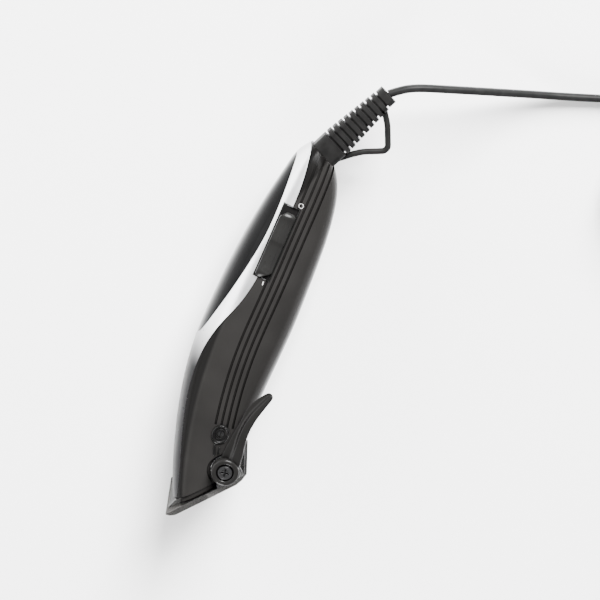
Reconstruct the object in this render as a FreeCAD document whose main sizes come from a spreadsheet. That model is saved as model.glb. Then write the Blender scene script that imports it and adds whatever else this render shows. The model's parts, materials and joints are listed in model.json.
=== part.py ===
import FreeCAD, Part
import math
import os

import Sketcher
from FreeCAD import Placement, Rotation, Vector

# Corded hair clipper, lying on its right flank.
# +X runs along the body towards the blades, -Y is the front of the casing
# (the side with the dark inlay) and +Z is the left flank, which carries the
# switch, the power adjuster and the taper lever.
# Everything is drawn about the middle plane, z = 0.  The last section moves
# all of it so that the origin is the bottom centre of the clipper's box.

doc = FreeCAD.newDocument("HairClipper")

# ---------------------------------------------------------------- sizes, mm

SIZES = {
    # casing
    "grip_width": 47.0,
    "front_crown": 26.0,
    "palm_crown": 13.9,
    "casing_wall": 2.2,
    "section_power": 2.7,
    "inlay_thickness": 1.0,
    "parting_gap": 0.1,
    "groove_width": 1.0,
    "groove_depth": 0.6,
    "groove_pitch": 2.6,
    # blades
    "blade_slope": 43.4,
    "blade_width": 46.0,
    "blade_length": 40.4,
    "blade_thickness": 2.4,
    "tooth_pitch": 1.45,
    "tooth_gap": 0.62,
    "tooth_depth": 7.0,
    "blade_gap": 0.1,
    "cutter_width": 34.0,
    "cutter_length": 20.0,
    "cutter_thickness": 1.8,
    "cutter_setback": 1.2,
    "cutter_tooth_pitch": 2.1,
    "cutter_tooth_gap": 1.0,
    "cutter_tooth_depth": 5.2,
    "casing_edge_height": 5.0,
    "lip_start": 6.5,
    "lip_clearance": 0.5,
    "lip_gap": 1.8,
    # blade carrier
    "carrier_thickness": 1.2,
    "carrier_front": 26.0,
    "carrier_back": 39.6,
    "carrier_half_width": 19.5,
    "ear_radius": 6.3,
    "ear_clearance": 0.3,
    "blade_travel": 1.4,
    # taper lever
    "hub_along": 32.9,
    "hub_height": 8.56,
    "hub_radius": 6.1,
    "hub_thickness": 4.0,
    "hub_recess_radius": 3.7,
    "hub_recess_depth": 2.0,
    "arm_thickness": 3.2,
    "cam_radius": 4.0,
    "cam_throw": 1.83,
    "cam_clearance": 0.1,
    "lever_turn": 45.0,
    "lever_screw_radius": 1.5,
    "running_clearance": 0.06,
    "lever_head_radius": 3.1,
    "lever_head_height": 1.35,
    "washer_thickness": 0.4,
    "lever_boss_radius": 4.4,
    "lever_boss_depth": 9.0,
    # small screws
    "screw_radius": 1.4,
    "screw_head_radius": 2.6,
    "screw_head_height": 1.6,
    "screw_clearance": 0.15,
    "thread_clearance": 0.02,
    "post_radius": 3.3,
    # switch
    "switch_recess_length": 33.0,
    "switch_recess_width": 7.0,
    "switch_recess_depth": 1.2,
    "switch_travel": 2.6,
    "switch_gap": 0.2,
    "switch_proud": 1.5,
    "switch_stem_length": 3.6,
    "switch_stem_width": 2.4,
    "switch_body_length": 18.0,
    "switch_body_width": 9.0,
    "switch_body_height": 6.0,
    # power adjuster
    "adjuster_radius": 1.45,
    "adjuster_head_height": 1.6,
    "adjuster_shank_radius": 1.1,
    "adjuster_boss_radius": 3.0,
    "adjuster_boss_depth": 7.0,
    "adjuster_tip_height": 5.2,
    # motor
    "pivot_along": -28.0,
    "motor_centre_y": -7.0,
    "arm_height": 7.0,
    "arm_plate": 1.6,
    "arm_face_z": 2.0,
    "core_length": 40.0,
    "core_start": -6.0,
    "core_height": 10.0,
    "core_leg": 8.0,
    "core_back": 4.5,
    "core_depth": 11.1,
    "pole_gap": 1.6,
    "armature_depth": 5.6,
    "bobbin_wall": 1.0,
    "winding_depth": 4.6,
    "part_gap": 0.3,
    "finger_width": 4.0,
    "follower_width": 10.0,
    "follower_height": 3.0,
    # cord guard
    "guard_tilt": 152.5,
    "guard_width": 12.8,
    "guard_end_width": 9.4,
    "guard_depth": 10.4,
    "guard_end_depth": 8.4,
    "guard_base_length": 7.0,
    "guard_rib_pitch": 2.95,
    "guard_rib_thickness": 1.95,
    "guard_core_width": 9.8,
    "guard_core_end_width": 6.4,
    "guard_core_depth": 9.4,
    "guard_core_end_depth": 7.4,
    "guard_collar_length": 3.4,
    "guard_collar_width": 8.6,
    "guard_neck_radius": 3.4,
    "guard_neck_length": 6.0,
    "hanging_rod_radius": 1.35,
    # cord and plug
    "cord_diameter": 5.2,
    "coil_radius": 27.6,
    "coil_band": 11.9,
    "coil_height": 16.0,
    "plug_length": 33.0,
    "plug_width": 34.0,
    "plug_height": 13.6,
    "plug_relief_length": 20.0,
    "pin_radius": 2.0,
    "pin_length": 19.0,
    "pin_spacing": 19.0,
}

sheet = doc.addObject("Spreadsheet::Sheet", "Sizes")
for row, (alias, value) in enumerate(SIZES.items(), start=1):
    sheet.set(f"A{row}", alias.replace("_", " "))
    sheet.set(f"B{row}", str(value))
    sheet.setAlias(f"B{row}", alias)
doc.recompute()


def size(alias):
    return float(sheet.get(alias))


# Casing stations from tail to nose: distance along the body, drop of the
# front face below the crown, drop of the palm face, narrowing on each side.
STATIONS = [
    (-66.0, 22.0, 13.9, 15.5),
    (-62.0, 17.6, 10.9, 13.0),
    (-57.0, 14.6, 7.0, 11.0),
    (-51.0, 12.8, 3.8, 9.0),
    (-40.0, 10.0, 1.1, 6.1),
    (-25.0, 6.7, 0.0, 3.3),
    (-5.0, 3.4, 0.2, 0.9),
    (15.0, 1.2, 0.8, 0.1),
    (35.0, 0.0, 2.4, 0.0),
    (55.0, 1.2, 3.9, 0.2),
    (75.0, 4.7, 3.9, 0.7),
    (92.0, 8.9, 3.4, 1.2),
    (106.0, 13.6, 3.4, 1.6),
]
CAVITY_FIRST_STATION = 2

# Edge between the front frame and the rear housing, seen from the side.
FRAME_EDGE = [
    (-72.0, -7.6), (-62.0, -6.3), (-49.9, -5.5), (-36.1, -6.2), (-20.0, -8.2),
    (-5.1, -10.6), (6.6, -13.5), (19.6, -18.6), (32.3, -21.8), (46.0, -22.4),
    (60.0, -21.0), (78.0, -16.9), (110.0, -9.9),
]

# Edge of the dark inlay, seen from the side: a leaf that closes at both ends.
INLAY_EDGE = [
    (-63.5, -10.9), (-52.8, -11.1), (-33.9, -11.9), (-20.9, -13.4), (-10.0, -15.6),
    (3.7, -18.9), (14.0, -21.6), (24.0, -24.2), (34.0, -27.0),
]

# Middle line of the group of four flank grooves.
GROOVE_LINE = [
    (-70.0, 2.0), (-55.0, 1.6), (-30.0, -0.4), (2.3, -2.8), (22.0, -4.3), (40.0, -4.4),
    (52.0, -3.6), (62.6, -2.4),
]
GROOVE_COUNT = 4

GRIP_HALF = size("grip_width") / 2.0
WALL = size("casing_wall")
OUT_OF_REACH = 90.0

# --------------------------------------------------------- reference frames

BLADE_ORIGIN = Vector(110.7, -12.0, 0.0)
blade_turn = Rotation(Vector(0, 0, 1), 180.0 - size("blade_slope"))
BLADE_FRAME = Placement(BLADE_ORIGIN, blade_turn)

GUARD_ORIGIN = Vector(-61.0, 0.2, 0.0)
GUARD_FRAME = Placement(GUARD_ORIGIN, Rotation(Vector(0, 0, 1), size("guard_tilt")))

X_AXIS = Vector(1, 0, 0)
Y_AXIS = Vector(0, 1, 0)
Z_AXIS = Vector(0, 0, 1)


def blade_point(along, height, across=0.0):
    """A point given along the blade from its tooth tips, above its skin side."""
    return BLADE_FRAME.multVec(Vector(along, height, across))


def station_at(x):
    """Front y, palm y and half width of the casing at a distance along it."""
    rows = [
        (s[0], s[1] - size("front_crown"), size("palm_crown") - s[2], GRIP_HALF - s[3])
        for s in STATIONS
    ]
    for low, high in zip(rows, rows[1:]):
        if low[0] <= x <= high[0]:
            share = (x - low[0]) / (high[0] - low[0])
            return [a + share * (b - a) for a, b in zip(low, high)][1:]
    return rows[-1][1:] if x > 0 else rows[0][1:]


def flank_height(x, y):
    """Height of the left flank's surface over the middle plane."""
    front, palm, half = station_at(x)
    middle = (front + palm) / 2.0
    reach = abs(y - middle) / ((palm - front) / 2.0)
    power = size("section_power")
    return half * (1.0 - min(reach, 0.99) ** power) ** (1.0 / power)


def palm_height(x, z):
    """Y of the palm face at a distance along the casing and across it."""
    front, palm, half = station_at(x)
    middle = (front + palm) / 2.0
    power = size("section_power")
    return middle + (palm - front) / 2.0 * (1.0 - (abs(z) / half) ** power) ** (1.0 / power)


# ------------------------------------------------------------ shared helpers


def feature(name, shape, placement=None):
    """A plain document object that holds a shape made by Part's functions."""
    item = doc.addObject("Part::Feature", name)
    item.Shape = shape
    if placement is not None:
        item.Placement = placement
    return item


def bound(item, **expressions):
    """Bind properties of an object to cells of the sheet."""
    for prop, expression in expressions.items():
        item.setExpression(prop, expression)
    return item


def cylinder(name, radius, height, base, direction=Z_AXIS):
    """A cylinder whose radius and height are expressions of the sheet."""
    item = doc.addObject("Part::Cylinder", name)
    bound(item, Radius=radius, Height=height)
    item.Placement = Placement(base, Rotation(Z_AXIS, direction))
    return item


def block(name, length, width, height, corner, turn=Rotation()):
    """A box whose three sides are expressions of the sheet."""
    item = doc.addObject("Part::Box", name)
    bound(item, Length=length, Width=width, Height=height)
    item.Placement = Placement(corner, turn)
    return item


def joined(name, items):
    """The union of several document objects."""
    item = doc.addObject("Part::MultiFuse", name)
    item.Shapes = items
    return item


def removed(name, base, tools):
    """A document object less one or more others."""
    item = doc.addObject("Part::Cut", name)
    item.Base = base
    item.Tool = tools[0] if len(tools) == 1 else joined(name + "Tools", tools)
    return item


def grouped(name, items):
    """Separate solids that share one node."""
    item = doc.addObject("Part::Compound", name)
    item.Links = items
    return item


def base_feature(body, role):
    """One of a body's own origin planes or axes."""
    return next(item for item in body.Origin.OriginFeatures if item.Role == role)


def new_body(name, placement=Placement()):
    """An empty PartDesign body."""
    body = doc.addObject("PartDesign::Body", name)
    body.Placement = placement
    return body


def flat_sketch(body, name, role, offset=0.0):
    """An empty sketch on one of the body's origin planes."""
    sketch = body.newObject("Sketcher::SketchObject", name)
    sketch.AttachmentSupport = [(base_feature(body, role), "")]
    sketch.MapMode = "FlatFace"
    sketch.AttachmentOffset = Placement(Vector(0, 0, offset), Rotation())
    return sketch


def outline(sketch, corners):
    """A closed run of straight lines."""
    first = sketch.GeometryCount
    count = len(corners)
    points = [Vector(x, y, 0) for x, y in corners]
    for index in range(count):
        sketch.addGeometry(Part.LineSegment(points[index], points[(index + 1) % count]), False)
    for index in range(count):
        ahead = first + (index + 1) % count
        sketch.addConstraint(Sketcher.Constraint("Coincident", first + index, 2, ahead, 1))


def rectangle(sketch, low_x, low_y, high_x, high_y):
    """A closed rectangle between two corners."""
    outline(sketch, [(low_x, low_y), (high_x, low_y), (high_x, high_y), (low_x, high_y)])


def circle(sketch, x, y, radius):
    """A circle whose radius is an expression of the sheet."""
    index = sketch.addGeometry(Part.Circle(Vector(x, y, 0), Z_AXIS, 1.0), False)
    constraint = sketch.addConstraint(Sketcher.Constraint("Radius", index, 1.0))
    sketch.setExpression(f"Constraints[{constraint}]", radius)


def pad(body, sketch, length, symmetric=False, backwards=False):
    """A pad of a sketch, with its length bound to the sheet."""
    item = body.newObject("PartDesign::Pad", sketch.Name + "Pad")
    item.Profile = sketch
    item.setExpression("Length", length)
    item.SideType = "Symmetric" if symmetric else "One side"
    item.Reversed = backwards
    return item


def pocket(body, sketch, length=None, symmetric=False, backwards=False):
    """A pocket of a sketch: as deep as given, or through everything."""
    item = body.newObject("PartDesign::Pocket", sketch.Name + "Pocket")
    item.Profile = sketch
    item.SideType = "Symmetric" if symmetric else "One side"
    item.Reversed = backwards
    if length is None:
        item.Type = "ThroughAll"
    else:
        item.setExpression("Length", length)
    return item


def row_of(body, original, role, length, count):
    """Copies of a feature in a straight row."""
    item = body.newObject("PartDesign::LinearPattern", original.Name + "Row")
    item.Originals = [original]
    item.Direction = (base_feature(body, role), [""])
    item.Length = length
    item.Occurrences = count
    body.Tip = item
    return item


def screw(name, seat, direction, length, shank="screw_radius", head="screw_head"):
    """A pan head screw with a cross recess; its head sits on the seat point."""
    turn = Rotation(Z_AXIS, direction)
    cap = cylinder(name + "Head", f"Sizes.{head}_radius", f"Sizes.{head}_height", seat, direction * -1)
    rod = cylinder(name + "Shank", f"Sizes.{shank}", f"{length:.3f} mm", seat, direction)
    whole = joined(name + "Whole", [cap, rod])
    arm = size(head + "_radius") * 1.2
    slot = arm * 0.22
    depth = size(head + "_height") * 0.55
    top = -size(head + "_height")
    bars = [
        Part.makeBox(arm, slot, depth, Vector(-arm / 2, -slot / 2, top)),
        Part.makeBox(slot, arm, depth, Vector(-slot / 2, -arm / 2, top)),
    ]
    recess = feature(name + "Recess", bars[0].fuse(bars[1]), Placement(seat, turn))
    return removed(name, whole, [recess])


NODES = []


def keep(item, label):
    """Name a finished sub-part; the label is its node's and its file's name."""
    item.Label = label
    NODES.append(item)
    return item


# ------------------------------------------------------------- casing shapes


def casing_section(station, inset):
    """One closed cross-section of the casing, a rounded square by formula."""
    x, front_drop, palm_drop, narrowing = station
    front = front_drop - size("front_crown")
    palm = size("palm_crown") - palm_drop
    middle = (front + palm) / 2.0
    half_depth = (palm - front) / 2.0 - inset
    half_width = GRIP_HALF - narrowing - inset
    share = 2.0 / size("section_power")
    steps = 16
    points = []
    for index in range(steps):
        angle = 2.0 * math.pi * index / steps
        cosine, sine = math.cos(angle), math.sin(angle)
        y = middle - half_depth * math.copysign(abs(cosine) ** share, cosine)
        z = half_width * math.copysign(abs(sine) ** share, sine)
        points.append(Vector(x, y, z))
    curve = Part.BSplineCurve()
    curve.interpolate(points, PeriodicFlag=True)
    return Part.Wire([curve.toShape()])


def casing_solid(inset, first=0):
    """The casing's outside, or a copy drawn in by an inset."""
    sections = [casing_section(station, inset) for station in STATIONS[first:]]
    return Part.makeLoft(sections, True, False)


def region_in_front(edge, shift=0.0):
    """Everything in front of a side-view line, across the whole width."""
    curve = Part.BSplineCurve()
    curve.interpolate([Vector(x, y + shift, -OUT_OF_REACH) for x, y in edge])
    first = curve.value(curve.FirstParameter)
    last = curve.value(curve.LastParameter)
    corners = [
        last,
        Vector(last.x, -OUT_OF_REACH, -OUT_OF_REACH),
        Vector(first.x, -OUT_OF_REACH, -OUT_OF_REACH),
        first,
    ]
    edges = [curve.toShape()]
    for low, high in zip(corners, corners[1:]):
        edges.append(Part.makeLine(low, high))
    face = Part.Face(Part.Wire(edges))
    return face.extrude(Vector(0, 0, 2 * OUT_OF_REACH))


def strip_along(line, offset, width):
    """A narrow strip that follows a side-view line, across the whole width."""
    upper = Part.BSplineCurve()
    upper.interpolate([Vector(x, y + offset - width / 2, -OUT_OF_REACH) for x, y in line])
    lower = Part.BSplineCurve()
    lower.interpolate([Vector(x, y + offset + width / 2, -OUT_OF_REACH) for x, y in line])
    ends = [
        Part.makeLine(upper.value(upper.LastParameter), lower.value(lower.LastParameter)),
        Part.makeLine(lower.value(lower.FirstParameter), upper.value(upper.FirstParameter)),
    ]
    wire = Part.Wire([upper.toShape(), ends[0], lower.toShape(), ends[1]])
    return Part.Face(wire).extrude(Vector(0, 0, 2 * OUT_OF_REACH))


def beyond_blade_edge(height):
    """Everything on the blade's side of the casing's lower edge."""
    low = Vector(-OUT_OF_REACH, height - OUT_OF_REACH, -OUT_OF_REACH)
    slab = Part.makeBox(3 * OUT_OF_REACH, OUT_OF_REACH, 2 * OUT_OF_REACH, low)
    slab.Placement = BLADE_FRAME
    return slab


def beyond_tail():
    """Everything behind the flat tail face that the cord guard sits on."""
    low = Vector(0, -OUT_OF_REACH, -OUT_OF_REACH)
    slab = Part.makeBox(OUT_OF_REACH, 2 * OUT_OF_REACH, 2 * OUT_OF_REACH, low)
    slab.Placement = GUARD_FRAME
    return slab


casing = casing_solid(0.0).cut(beyond_blade_edge(size("casing_edge_height"))).cut(beyond_tail())
cavity = casing_solid(WALL, CAVITY_FIRST_STATION)
shell = casing.cut(cavity)
inlay_layer = casing.cut(casing_solid(size("inlay_thickness")))
inlay_floor = casing_solid(size("inlay_thickness") + size("parting_gap"))

# -------------------------------------------------- places shared by pieces

CARRIER_LOW = size("blade_thickness")
CARRIER_HIGH = CARRIER_LOW + size("carrier_thickness")
SPRING_HIGH = CARRIER_HIGH + 0.5
DECK_LOW = SPRING_HIGH + size("screw_head_height") + 0.2

HUB = blade_point(size("hub_along"), size("hub_height"))
EAR_OUTER_Z = size("blade_width") / 2.0 + 0.2
EAR_INNER_Z = EAR_OUTER_Z - size("carrier_thickness")
SEAT_Z = EAR_INNER_Z - size("ear_clearance")
LEVER_BACK_Z = EAR_OUTER_Z + size("ear_clearance")

ADJUSTER = Vector(66.1, -2.7, 0.0)
ADJUSTER_TOP_Z = flank_height(ADJUSTER.x, ADJUSTER.y) - 0.3

SWITCH_XY = (-21.7, -7.6)
SWITCH_YAW = -4.7
SWITCH_PITCH = -8.2
SWITCH_BODY_TOP = -3.4
SWITCH_FRAME = Placement(
    Vector(SWITCH_XY[0], SWITCH_XY[1], flank_height(*SWITCH_XY)),
    Rotation(Z_AXIS, SWITCH_YAW).multiply(Rotation(Y_AXIS, SWITCH_PITCH)),
)

# Screws that hold the two halves: distance along, and place across.
HOUSING_SCREWS = [(-44.0, 0.0), (54.0, 9.0), (54.0, -9.0)]
PARTING_Y = -3.0
SCREW_SEAT_DEPTH = 3.2
MOTOR_CENTRE = size("motor_centre_y")
CORE_LOW_Y = MOTOR_CENTRE - size("core_height") / 2.0
CORE_HIGH_Y = MOTOR_CENTRE + size("core_height") / 2.0
POLE_Z = size("arm_face_z") - size("armature_depth") - size("pole_gap")
CORE_BACK_Z = POLE_Z - size("core_depth")
MOTOR_SCREW_Z = CORE_BACK_Z + size("core_back") / 2.0
MOTOR_SCREWS = [
    size("core_start") + size("core_leg") / 2.0,
    size("core_start") + size("core_length") - size("core_leg") / 2.0,
]
BRACKET_LENGTH = 11.0
BRACKET_START = size("pivot_along") - 1.0 - BRACKET_LENGTH
BRACKET_HALF = 9.0
BRACKET_SCREW_Z = 6.3
BRACKET_LOW_Y = MOTOR_CENTRE - size("arm_height") / 2.0 - 0.5
BRACKET_HIGH_Y = MOTOR_CENTRE + size("arm_height") / 2.0 + 0.5
BRACKET_SCREW_X = BRACKET_START + 3.0
CLAMP_X = (-54.0, -49.5)
CLAMP_Y = (-7.0, -1.0)
CLAMP_HALF = 6.5
CLAMP_SCREW_Z = 4.8
CLAMP_SCREW_X = (CLAMP_X[0] + CLAMP_X[1]) / 2.0

# -------------------------------------------------------------- rear housing


def post_to_palm(x, z, top_y, radius):
    """A post that stands on the palm wall inside the casing."""
    reach = size("palm_crown") + 5.0 - top_y
    rod = Part.makeCylinder(radius, reach, Vector(x, top_y, z), Y_AXIS)
    return rod.common(casing)


def drilled(x, z, top_y, radius, depth):
    """A blind hole down a palm post."""
    return Part.makeCylinder(radius, depth, Vector(x, top_y, z), Y_AXIS)


def switch_cut(length, width, low, high, shift=0.0):
    """A box cut in the switch's own frame on the left flank."""
    corner = Vector(shift - length / 2.0, -width / 2.0, low)
    cut = Part.makeBox(length, width, high - low, corner)
    cut.Placement = SWITCH_FRAME
    return cut


def switch_recess_cuts():
    """The button's recess, the slot for its stem and room for the switch."""
    gap = size("switch_gap")
    recess = size("switch_recess_depth")
    slot_length = size("switch_stem_length") + size("switch_travel") + 2 * gap
    slot_width = size("switch_stem_width") + 2 * gap
    room_length = size("switch_body_length") + 2 * gap
    room_width = size("switch_body_width") + 2 * gap
    room_top = SWITCH_BODY_TOP + gap
    return [
        switch_cut(size("switch_recess_length"), size("switch_recess_width"), -recess, 6.0),
        switch_cut(slot_length, slot_width, -5.0, 2.0, -size("switch_travel") / 2.0),
        switch_cut(room_length, room_width, room_top - 8.0, room_top),
    ]


def ear_outline(grow, travel):
    """Side view of the carrier's ear, grown by a clearance and its travel."""
    radius = size("ear_radius") + grow
    along, height = size("hub_along"), size("hub_height")
    bottom = -5.0
    low = blade_point(along - radius - travel, bottom)
    slab = Part.makeBox(2 * radius + travel, height - bottom, OUT_OF_REACH)
    slab.Placement = Placement(low, blade_turn)
    tops = []
    for shift in (0.0, -travel):
        centre = blade_point(along + shift, height)
        tops.append(Part.makeCylinder(radius, OUT_OF_REACH, centre))
    bridge = Part.makeBox(travel + 0.01, 2 * radius, OUT_OF_REACH)
    bridge.Placement = Placement(blade_point(along - travel, height - radius), blade_turn)
    return slab.multiFuse(tops + [bridge]).removeSplitter()


def lip_beside_blade(side):
    """A rim that hangs from one flank and closes the gap beside the cutter."""
    low = size("blade_thickness") + size("lip_clearance")
    high = size("casing_edge_height") + 0.2
    end = size("carrier_front") - size("blade_travel") - 0.4
    inner = size("cutter_width") / 2.0 + size("lip_gap")
    reach = GRIP_HALF - inner
    corner = Vector(size("lip_start"), low, inner if side > 0 else -GRIP_HALF)
    rim = Part.makeBox(end - size("lip_start"), high - low, reach, corner)
    rim.Placement = BLADE_FRAME
    return rim.common(casing_solid(0.6))


def housing_shape():
    """The rear housing: shell, grooves, posts, deck, lips, bosses and seats."""
    body = shell.cut(region_in_front(FRAME_EDGE, size("parting_gap")))
    posts = []
    for x, z in HOUSING_SCREWS:
        posts.append(post_to_palm(x, z, PARTING_Y, size("post_radius")))
    for x in MOTOR_SCREWS:
        posts.append(post_to_palm(x, MOTOR_SCREW_Z, CORE_HIGH_Y, size("post_radius")))
    for z in (BRACKET_SCREW_Z, -BRACKET_SCREW_Z):
        posts.append(post_to_palm(BRACKET_SCREW_X, z, BRACKET_HIGH_Y, 2.6))
    for z in (CLAMP_SCREW_Z, -CLAMP_SCREW_Z):
        posts.append(post_to_palm(CLAMP_SCREW_X, z, CLAMP_Y[1], 2.0))
    deck = Part.makeBox(12.0, 1.6, 2 * GRIP_HALF, Vector(26.5, DECK_LOW, -GRIP_HALF))
    deck.Placement = BLADE_FRAME
    posts.append(deck.common(casing))
    posts.extend([lip_beside_blade(1), lip_beside_blade(-1)])
    boss_low = SEAT_Z - size("lever_boss_depth")
    lever_boss = Part.makeCylinder(
        size("lever_boss_radius"), size("lever_boss_depth"), Vector(HUB.x, HUB.y, boss_low)
    )
    posts.append(lever_boss)
    adjuster_boss = Part.makeCylinder(
        size("adjuster_boss_radius"),
        size("adjuster_boss_depth"),
        Vector(ADJUSTER.x, ADJUSTER.y, flank_height(ADJUSTER.x, ADJUSTER.y) - WALL + 0.2),
        Z_AXIS * -1,
    )
    posts.append(adjuster_boss)
    body = body.multiFuse(posts)

    cuts = []
    under_groove = casing_solid(size("groove_depth"))
    middle = (GROOVE_COUNT - 1) / 2.0
    for index in range(GROOVE_COUNT):
        offset = (index - middle) * size("groove_pitch")
        strip = strip_along(GROOVE_LINE, offset, size("groove_width"))
        cuts.append(strip.cut(under_groove))
    shank = size("screw_radius")
    for x, z in HOUSING_SCREWS:
        seat = palm_height(x, z) - SCREW_SEAT_DEPTH
        clear = size("screw_clearance")
        cuts.append(drilled(x, z, PARTING_Y - 1.0, shank + clear, seat - PARTING_Y + 1.5))
        cuts.append(drilled(x, z, seat, size("screw_head_radius") + clear, 20.0))
    tight = shank + size("thread_clearance")
    for x in MOTOR_SCREWS:
        cuts.append(drilled(x, MOTOR_SCREW_Z, CORE_HIGH_Y, tight, 7.2))
    for z in (BRACKET_SCREW_Z, -BRACKET_SCREW_Z):
        cuts.append(drilled(BRACKET_SCREW_X, z, BRACKET_HIGH_Y, tight, 7.2))
    for z in (CLAMP_SCREW_Z, -CLAMP_SCREW_Z):
        cuts.append(drilled(CLAMP_SCREW_X, z, CLAMP_Y[1], 1.02, 4.2))
    # lever seat, its threaded hole and the flat that the ear slides over
    hole = size("lever_screw_radius") + size("thread_clearance")
    depth = size("lever_boss_depth") + 1.0
    cuts.append(Part.makeCylinder(hole, depth, Vector(HUB.x, HUB.y, boss_low - 0.5)))
    ear_room = ear_outline(0.5, size("blade_travel"))
    ear_room.translate(Vector(0, 0, SEAT_Z))
    cuts.append(ear_room)
    # power adjuster
    head_floor = ADJUSTER_TOP_Z - size("adjuster_head_height")
    head_hole = size("adjuster_radius") + size("running_clearance")
    shank_hole = size("adjuster_shank_radius") + size("running_clearance")
    cuts.append(Part.makeCylinder(head_hole, 6.0, Vector(ADJUSTER.x, ADJUSTER.y, head_floor)))
    cuts.append(Part.makeCylinder(shank_hole, 20.0, Vector(ADJUSTER.x, ADJUSTER.y, 5.0)))
    # switch
    cuts.extend(switch_recess_cuts())
    # tail hole for the guard's neck
    neck = Part.makeCylinder(
        size("guard_neck_radius") + 0.05, size("guard_neck_length") + 4.0, Vector(-10.0, 0, 0), X_AXIS
    )
    neck.Placement = GUARD_FRAME
    cuts.append(neck)
    return body.cut(cuts)


def largest_solid(shape):
    """The main solid, without crumbs that a cut leaves."""
    return max(shape.Solids, key=lambda solid: solid.Volume)


rear_housing = keep(feature("RearHousing", largest_solid(housing_shape())), "rear_housing")


# --------------------------------------------------- front frame and inlay


def frame_shape():
    """The silver front: shell, bosses for the screws, seat for the inlay."""
    inlay_room = region_in_front(INLAY_EDGE, size("parting_gap")).cut(inlay_floor)
    body = shell.common(region_in_front(FRAME_EDGE)).cut(inlay_room)
    rear_shell = shell.cut(region_in_front(FRAME_EDGE, -size("parting_gap")))
    bosses = []
    for x, z in HOUSING_SCREWS:
        rod = Part.makeCylinder(
            size("post_radius"), 40.0, Vector(x, PARTING_Y, z), Y_AXIS * -1
        )
        bosses.append(rod.common(inlay_floor).cut(rear_shell))
    body = body.multiFuse(bosses)
    hole = size("screw_radius") + size("thread_clearance")
    cuts = switch_recess_cuts()
    for x, z in HOUSING_SCREWS:
        cuts.append(Part.makeCylinder(hole, 6.6, Vector(x, PARTING_Y, z), Y_AXIS * -1))
    return body.cut(cuts)


front_frame = keep(feature("FrontFrame", largest_solid(frame_shape())), "front_frame")
front_cover = keep(
    feature("FrontCover", largest_solid(inlay_layer.common(region_in_front(INLAY_EDGE)))),
    "front_cover",
)

housing_screws = []
for number, (x, z) in enumerate(HOUSING_SCREWS):
    seat = Vector(x, palm_height(x, z) - SCREW_SEAT_DEPTH, z)
    length = seat.y - PARTING_Y + 6.0
    housing_screws.append(
        screw(f"HousingScrew{number}", seat, Y_AXIS * -1, length)
    )
keep(grouped("HousingScrews", housing_screws), "housing_screws")

# --------------------------------------------------------------- the blades


def toothed_plate(label, side, width, tooth_pitch, tooth_gap, tooth_depth, front, frame):
    """A blade: its side outline padded across, with a row of tooth gaps."""
    body = new_body("".join(word.title() for word in label.split("_")), frame)
    profile = flat_sketch(body, label + "_side", "XY_Plane")
    outline(profile, side)
    pad(body, profile, "Sizes." + width, symmetric=True)
    pitch = size(tooth_pitch)
    gaps = int(size(width) / pitch - 0.4)
    start = -(gaps - 1) * pitch / 2.0
    half_gap = size(tooth_gap) / 2.0
    gap = flat_sketch(body, label + "_gap", "XZ_Plane", offset=-10.0)
    depth = front + size(tooth_depth)
    outline(gap, [
        (front - 1.0, start - half_gap),
        (depth - half_gap, start - half_gap),
        (depth, start),
        (depth - half_gap, start + half_gap),
        (front - 1.0, start + half_gap),
    ])
    cut = pocket(body, gap, backwards=True)
    row_of(body, cut, "Z_Axis", (gaps - 1) * pitch, gaps)
    return body


THICK = size("blade_thickness")
LENGTH = size("blade_length")
fixed_blade = toothed_plate(
    "fixed_blade",
    [
        (0.0, THICK), (0.25, THICK - 0.55), (1.3, 0.9), (3.6, 0.0), (LENGTH - 6.4, 0.0),
        (LENGTH - 3.2, 0.8), (LENGTH, THICK),
    ],
    "blade_width", "tooth_pitch", "tooth_gap", "tooth_depth", 0.0, BLADE_FRAME,
)
BLADE_SCREW_ALONG = size("carrier_front") + 4.4
BLADE_SCREW_ACROSS = 9.0
holes = flat_sketch(fixed_blade, "fixed_blade_holes", "XZ_Plane", offset=-10.0)
for side in (-1.0, 1.0):
    circle(holes, BLADE_SCREW_ALONG, side * BLADE_SCREW_ACROSS, "Sizes.screw_radius + Sizes.thread_clearance")
fixed_blade.Tip = pocket(fixed_blade, holes, backwards=True)
keep(fixed_blade, "fixed_blade")

CUTTER_LOW = THICK + size("blade_gap")
CUTTER_HIGH = CUTTER_LOW + size("cutter_thickness")
CUTTER_FRONT = size("cutter_setback")
CUTTER_BACK = CUTTER_FRONT + size("cutter_length")
moving_blade = toothed_plate(
    "moving_blade",
    [
        (CUTTER_FRONT, CUTTER_LOW), (CUTTER_BACK, CUTTER_LOW), (CUTTER_BACK, CUTTER_HIGH),
        (CUTTER_FRONT + 4.0, CUTTER_HIGH), (CUTTER_FRONT, CUTTER_LOW + 0.35),
    ],
    "cutter_width", "cutter_tooth_pitch", "cutter_tooth_gap", "cutter_tooth_depth",
    CUTTER_FRONT, BLADE_FRAME,
)
keep(moving_blade, "moving_blade")

# The follower is a block on the cutter with a slot for the drive finger.
FOLLOWER_ALONG = (10.0, 18.0)
FINGER_ALONG = (12.0, 16.0)
FOLLOWER_HIGH = CUTTER_HIGH + size("follower_height")
follower = new_body("CutterFollower", BLADE_FRAME)
block_sketch = flat_sketch(follower, "follower_side", "XY_Plane")
rectangle(block_sketch, FOLLOWER_ALONG[0], CUTTER_HIGH, FOLLOWER_ALONG[1], FOLLOWER_HIGH)
pad(follower, block_sketch, "Sizes.follower_width", symmetric=True)
slot_sketch = flat_sketch(follower, "follower_slot", "XY_Plane")
rectangle(slot_sketch, 0.0, CUTTER_HIGH + 0.4, 30.0, FOLLOWER_HIGH + 1.0)
pocket(follower, slot_sketch, "Sizes.finger_width + 2 * Sizes.cam_clearance", symmetric=True)
keep(follower, "cutter_follower")

# ----------------------------------------------- blade carrier and its spring


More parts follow.
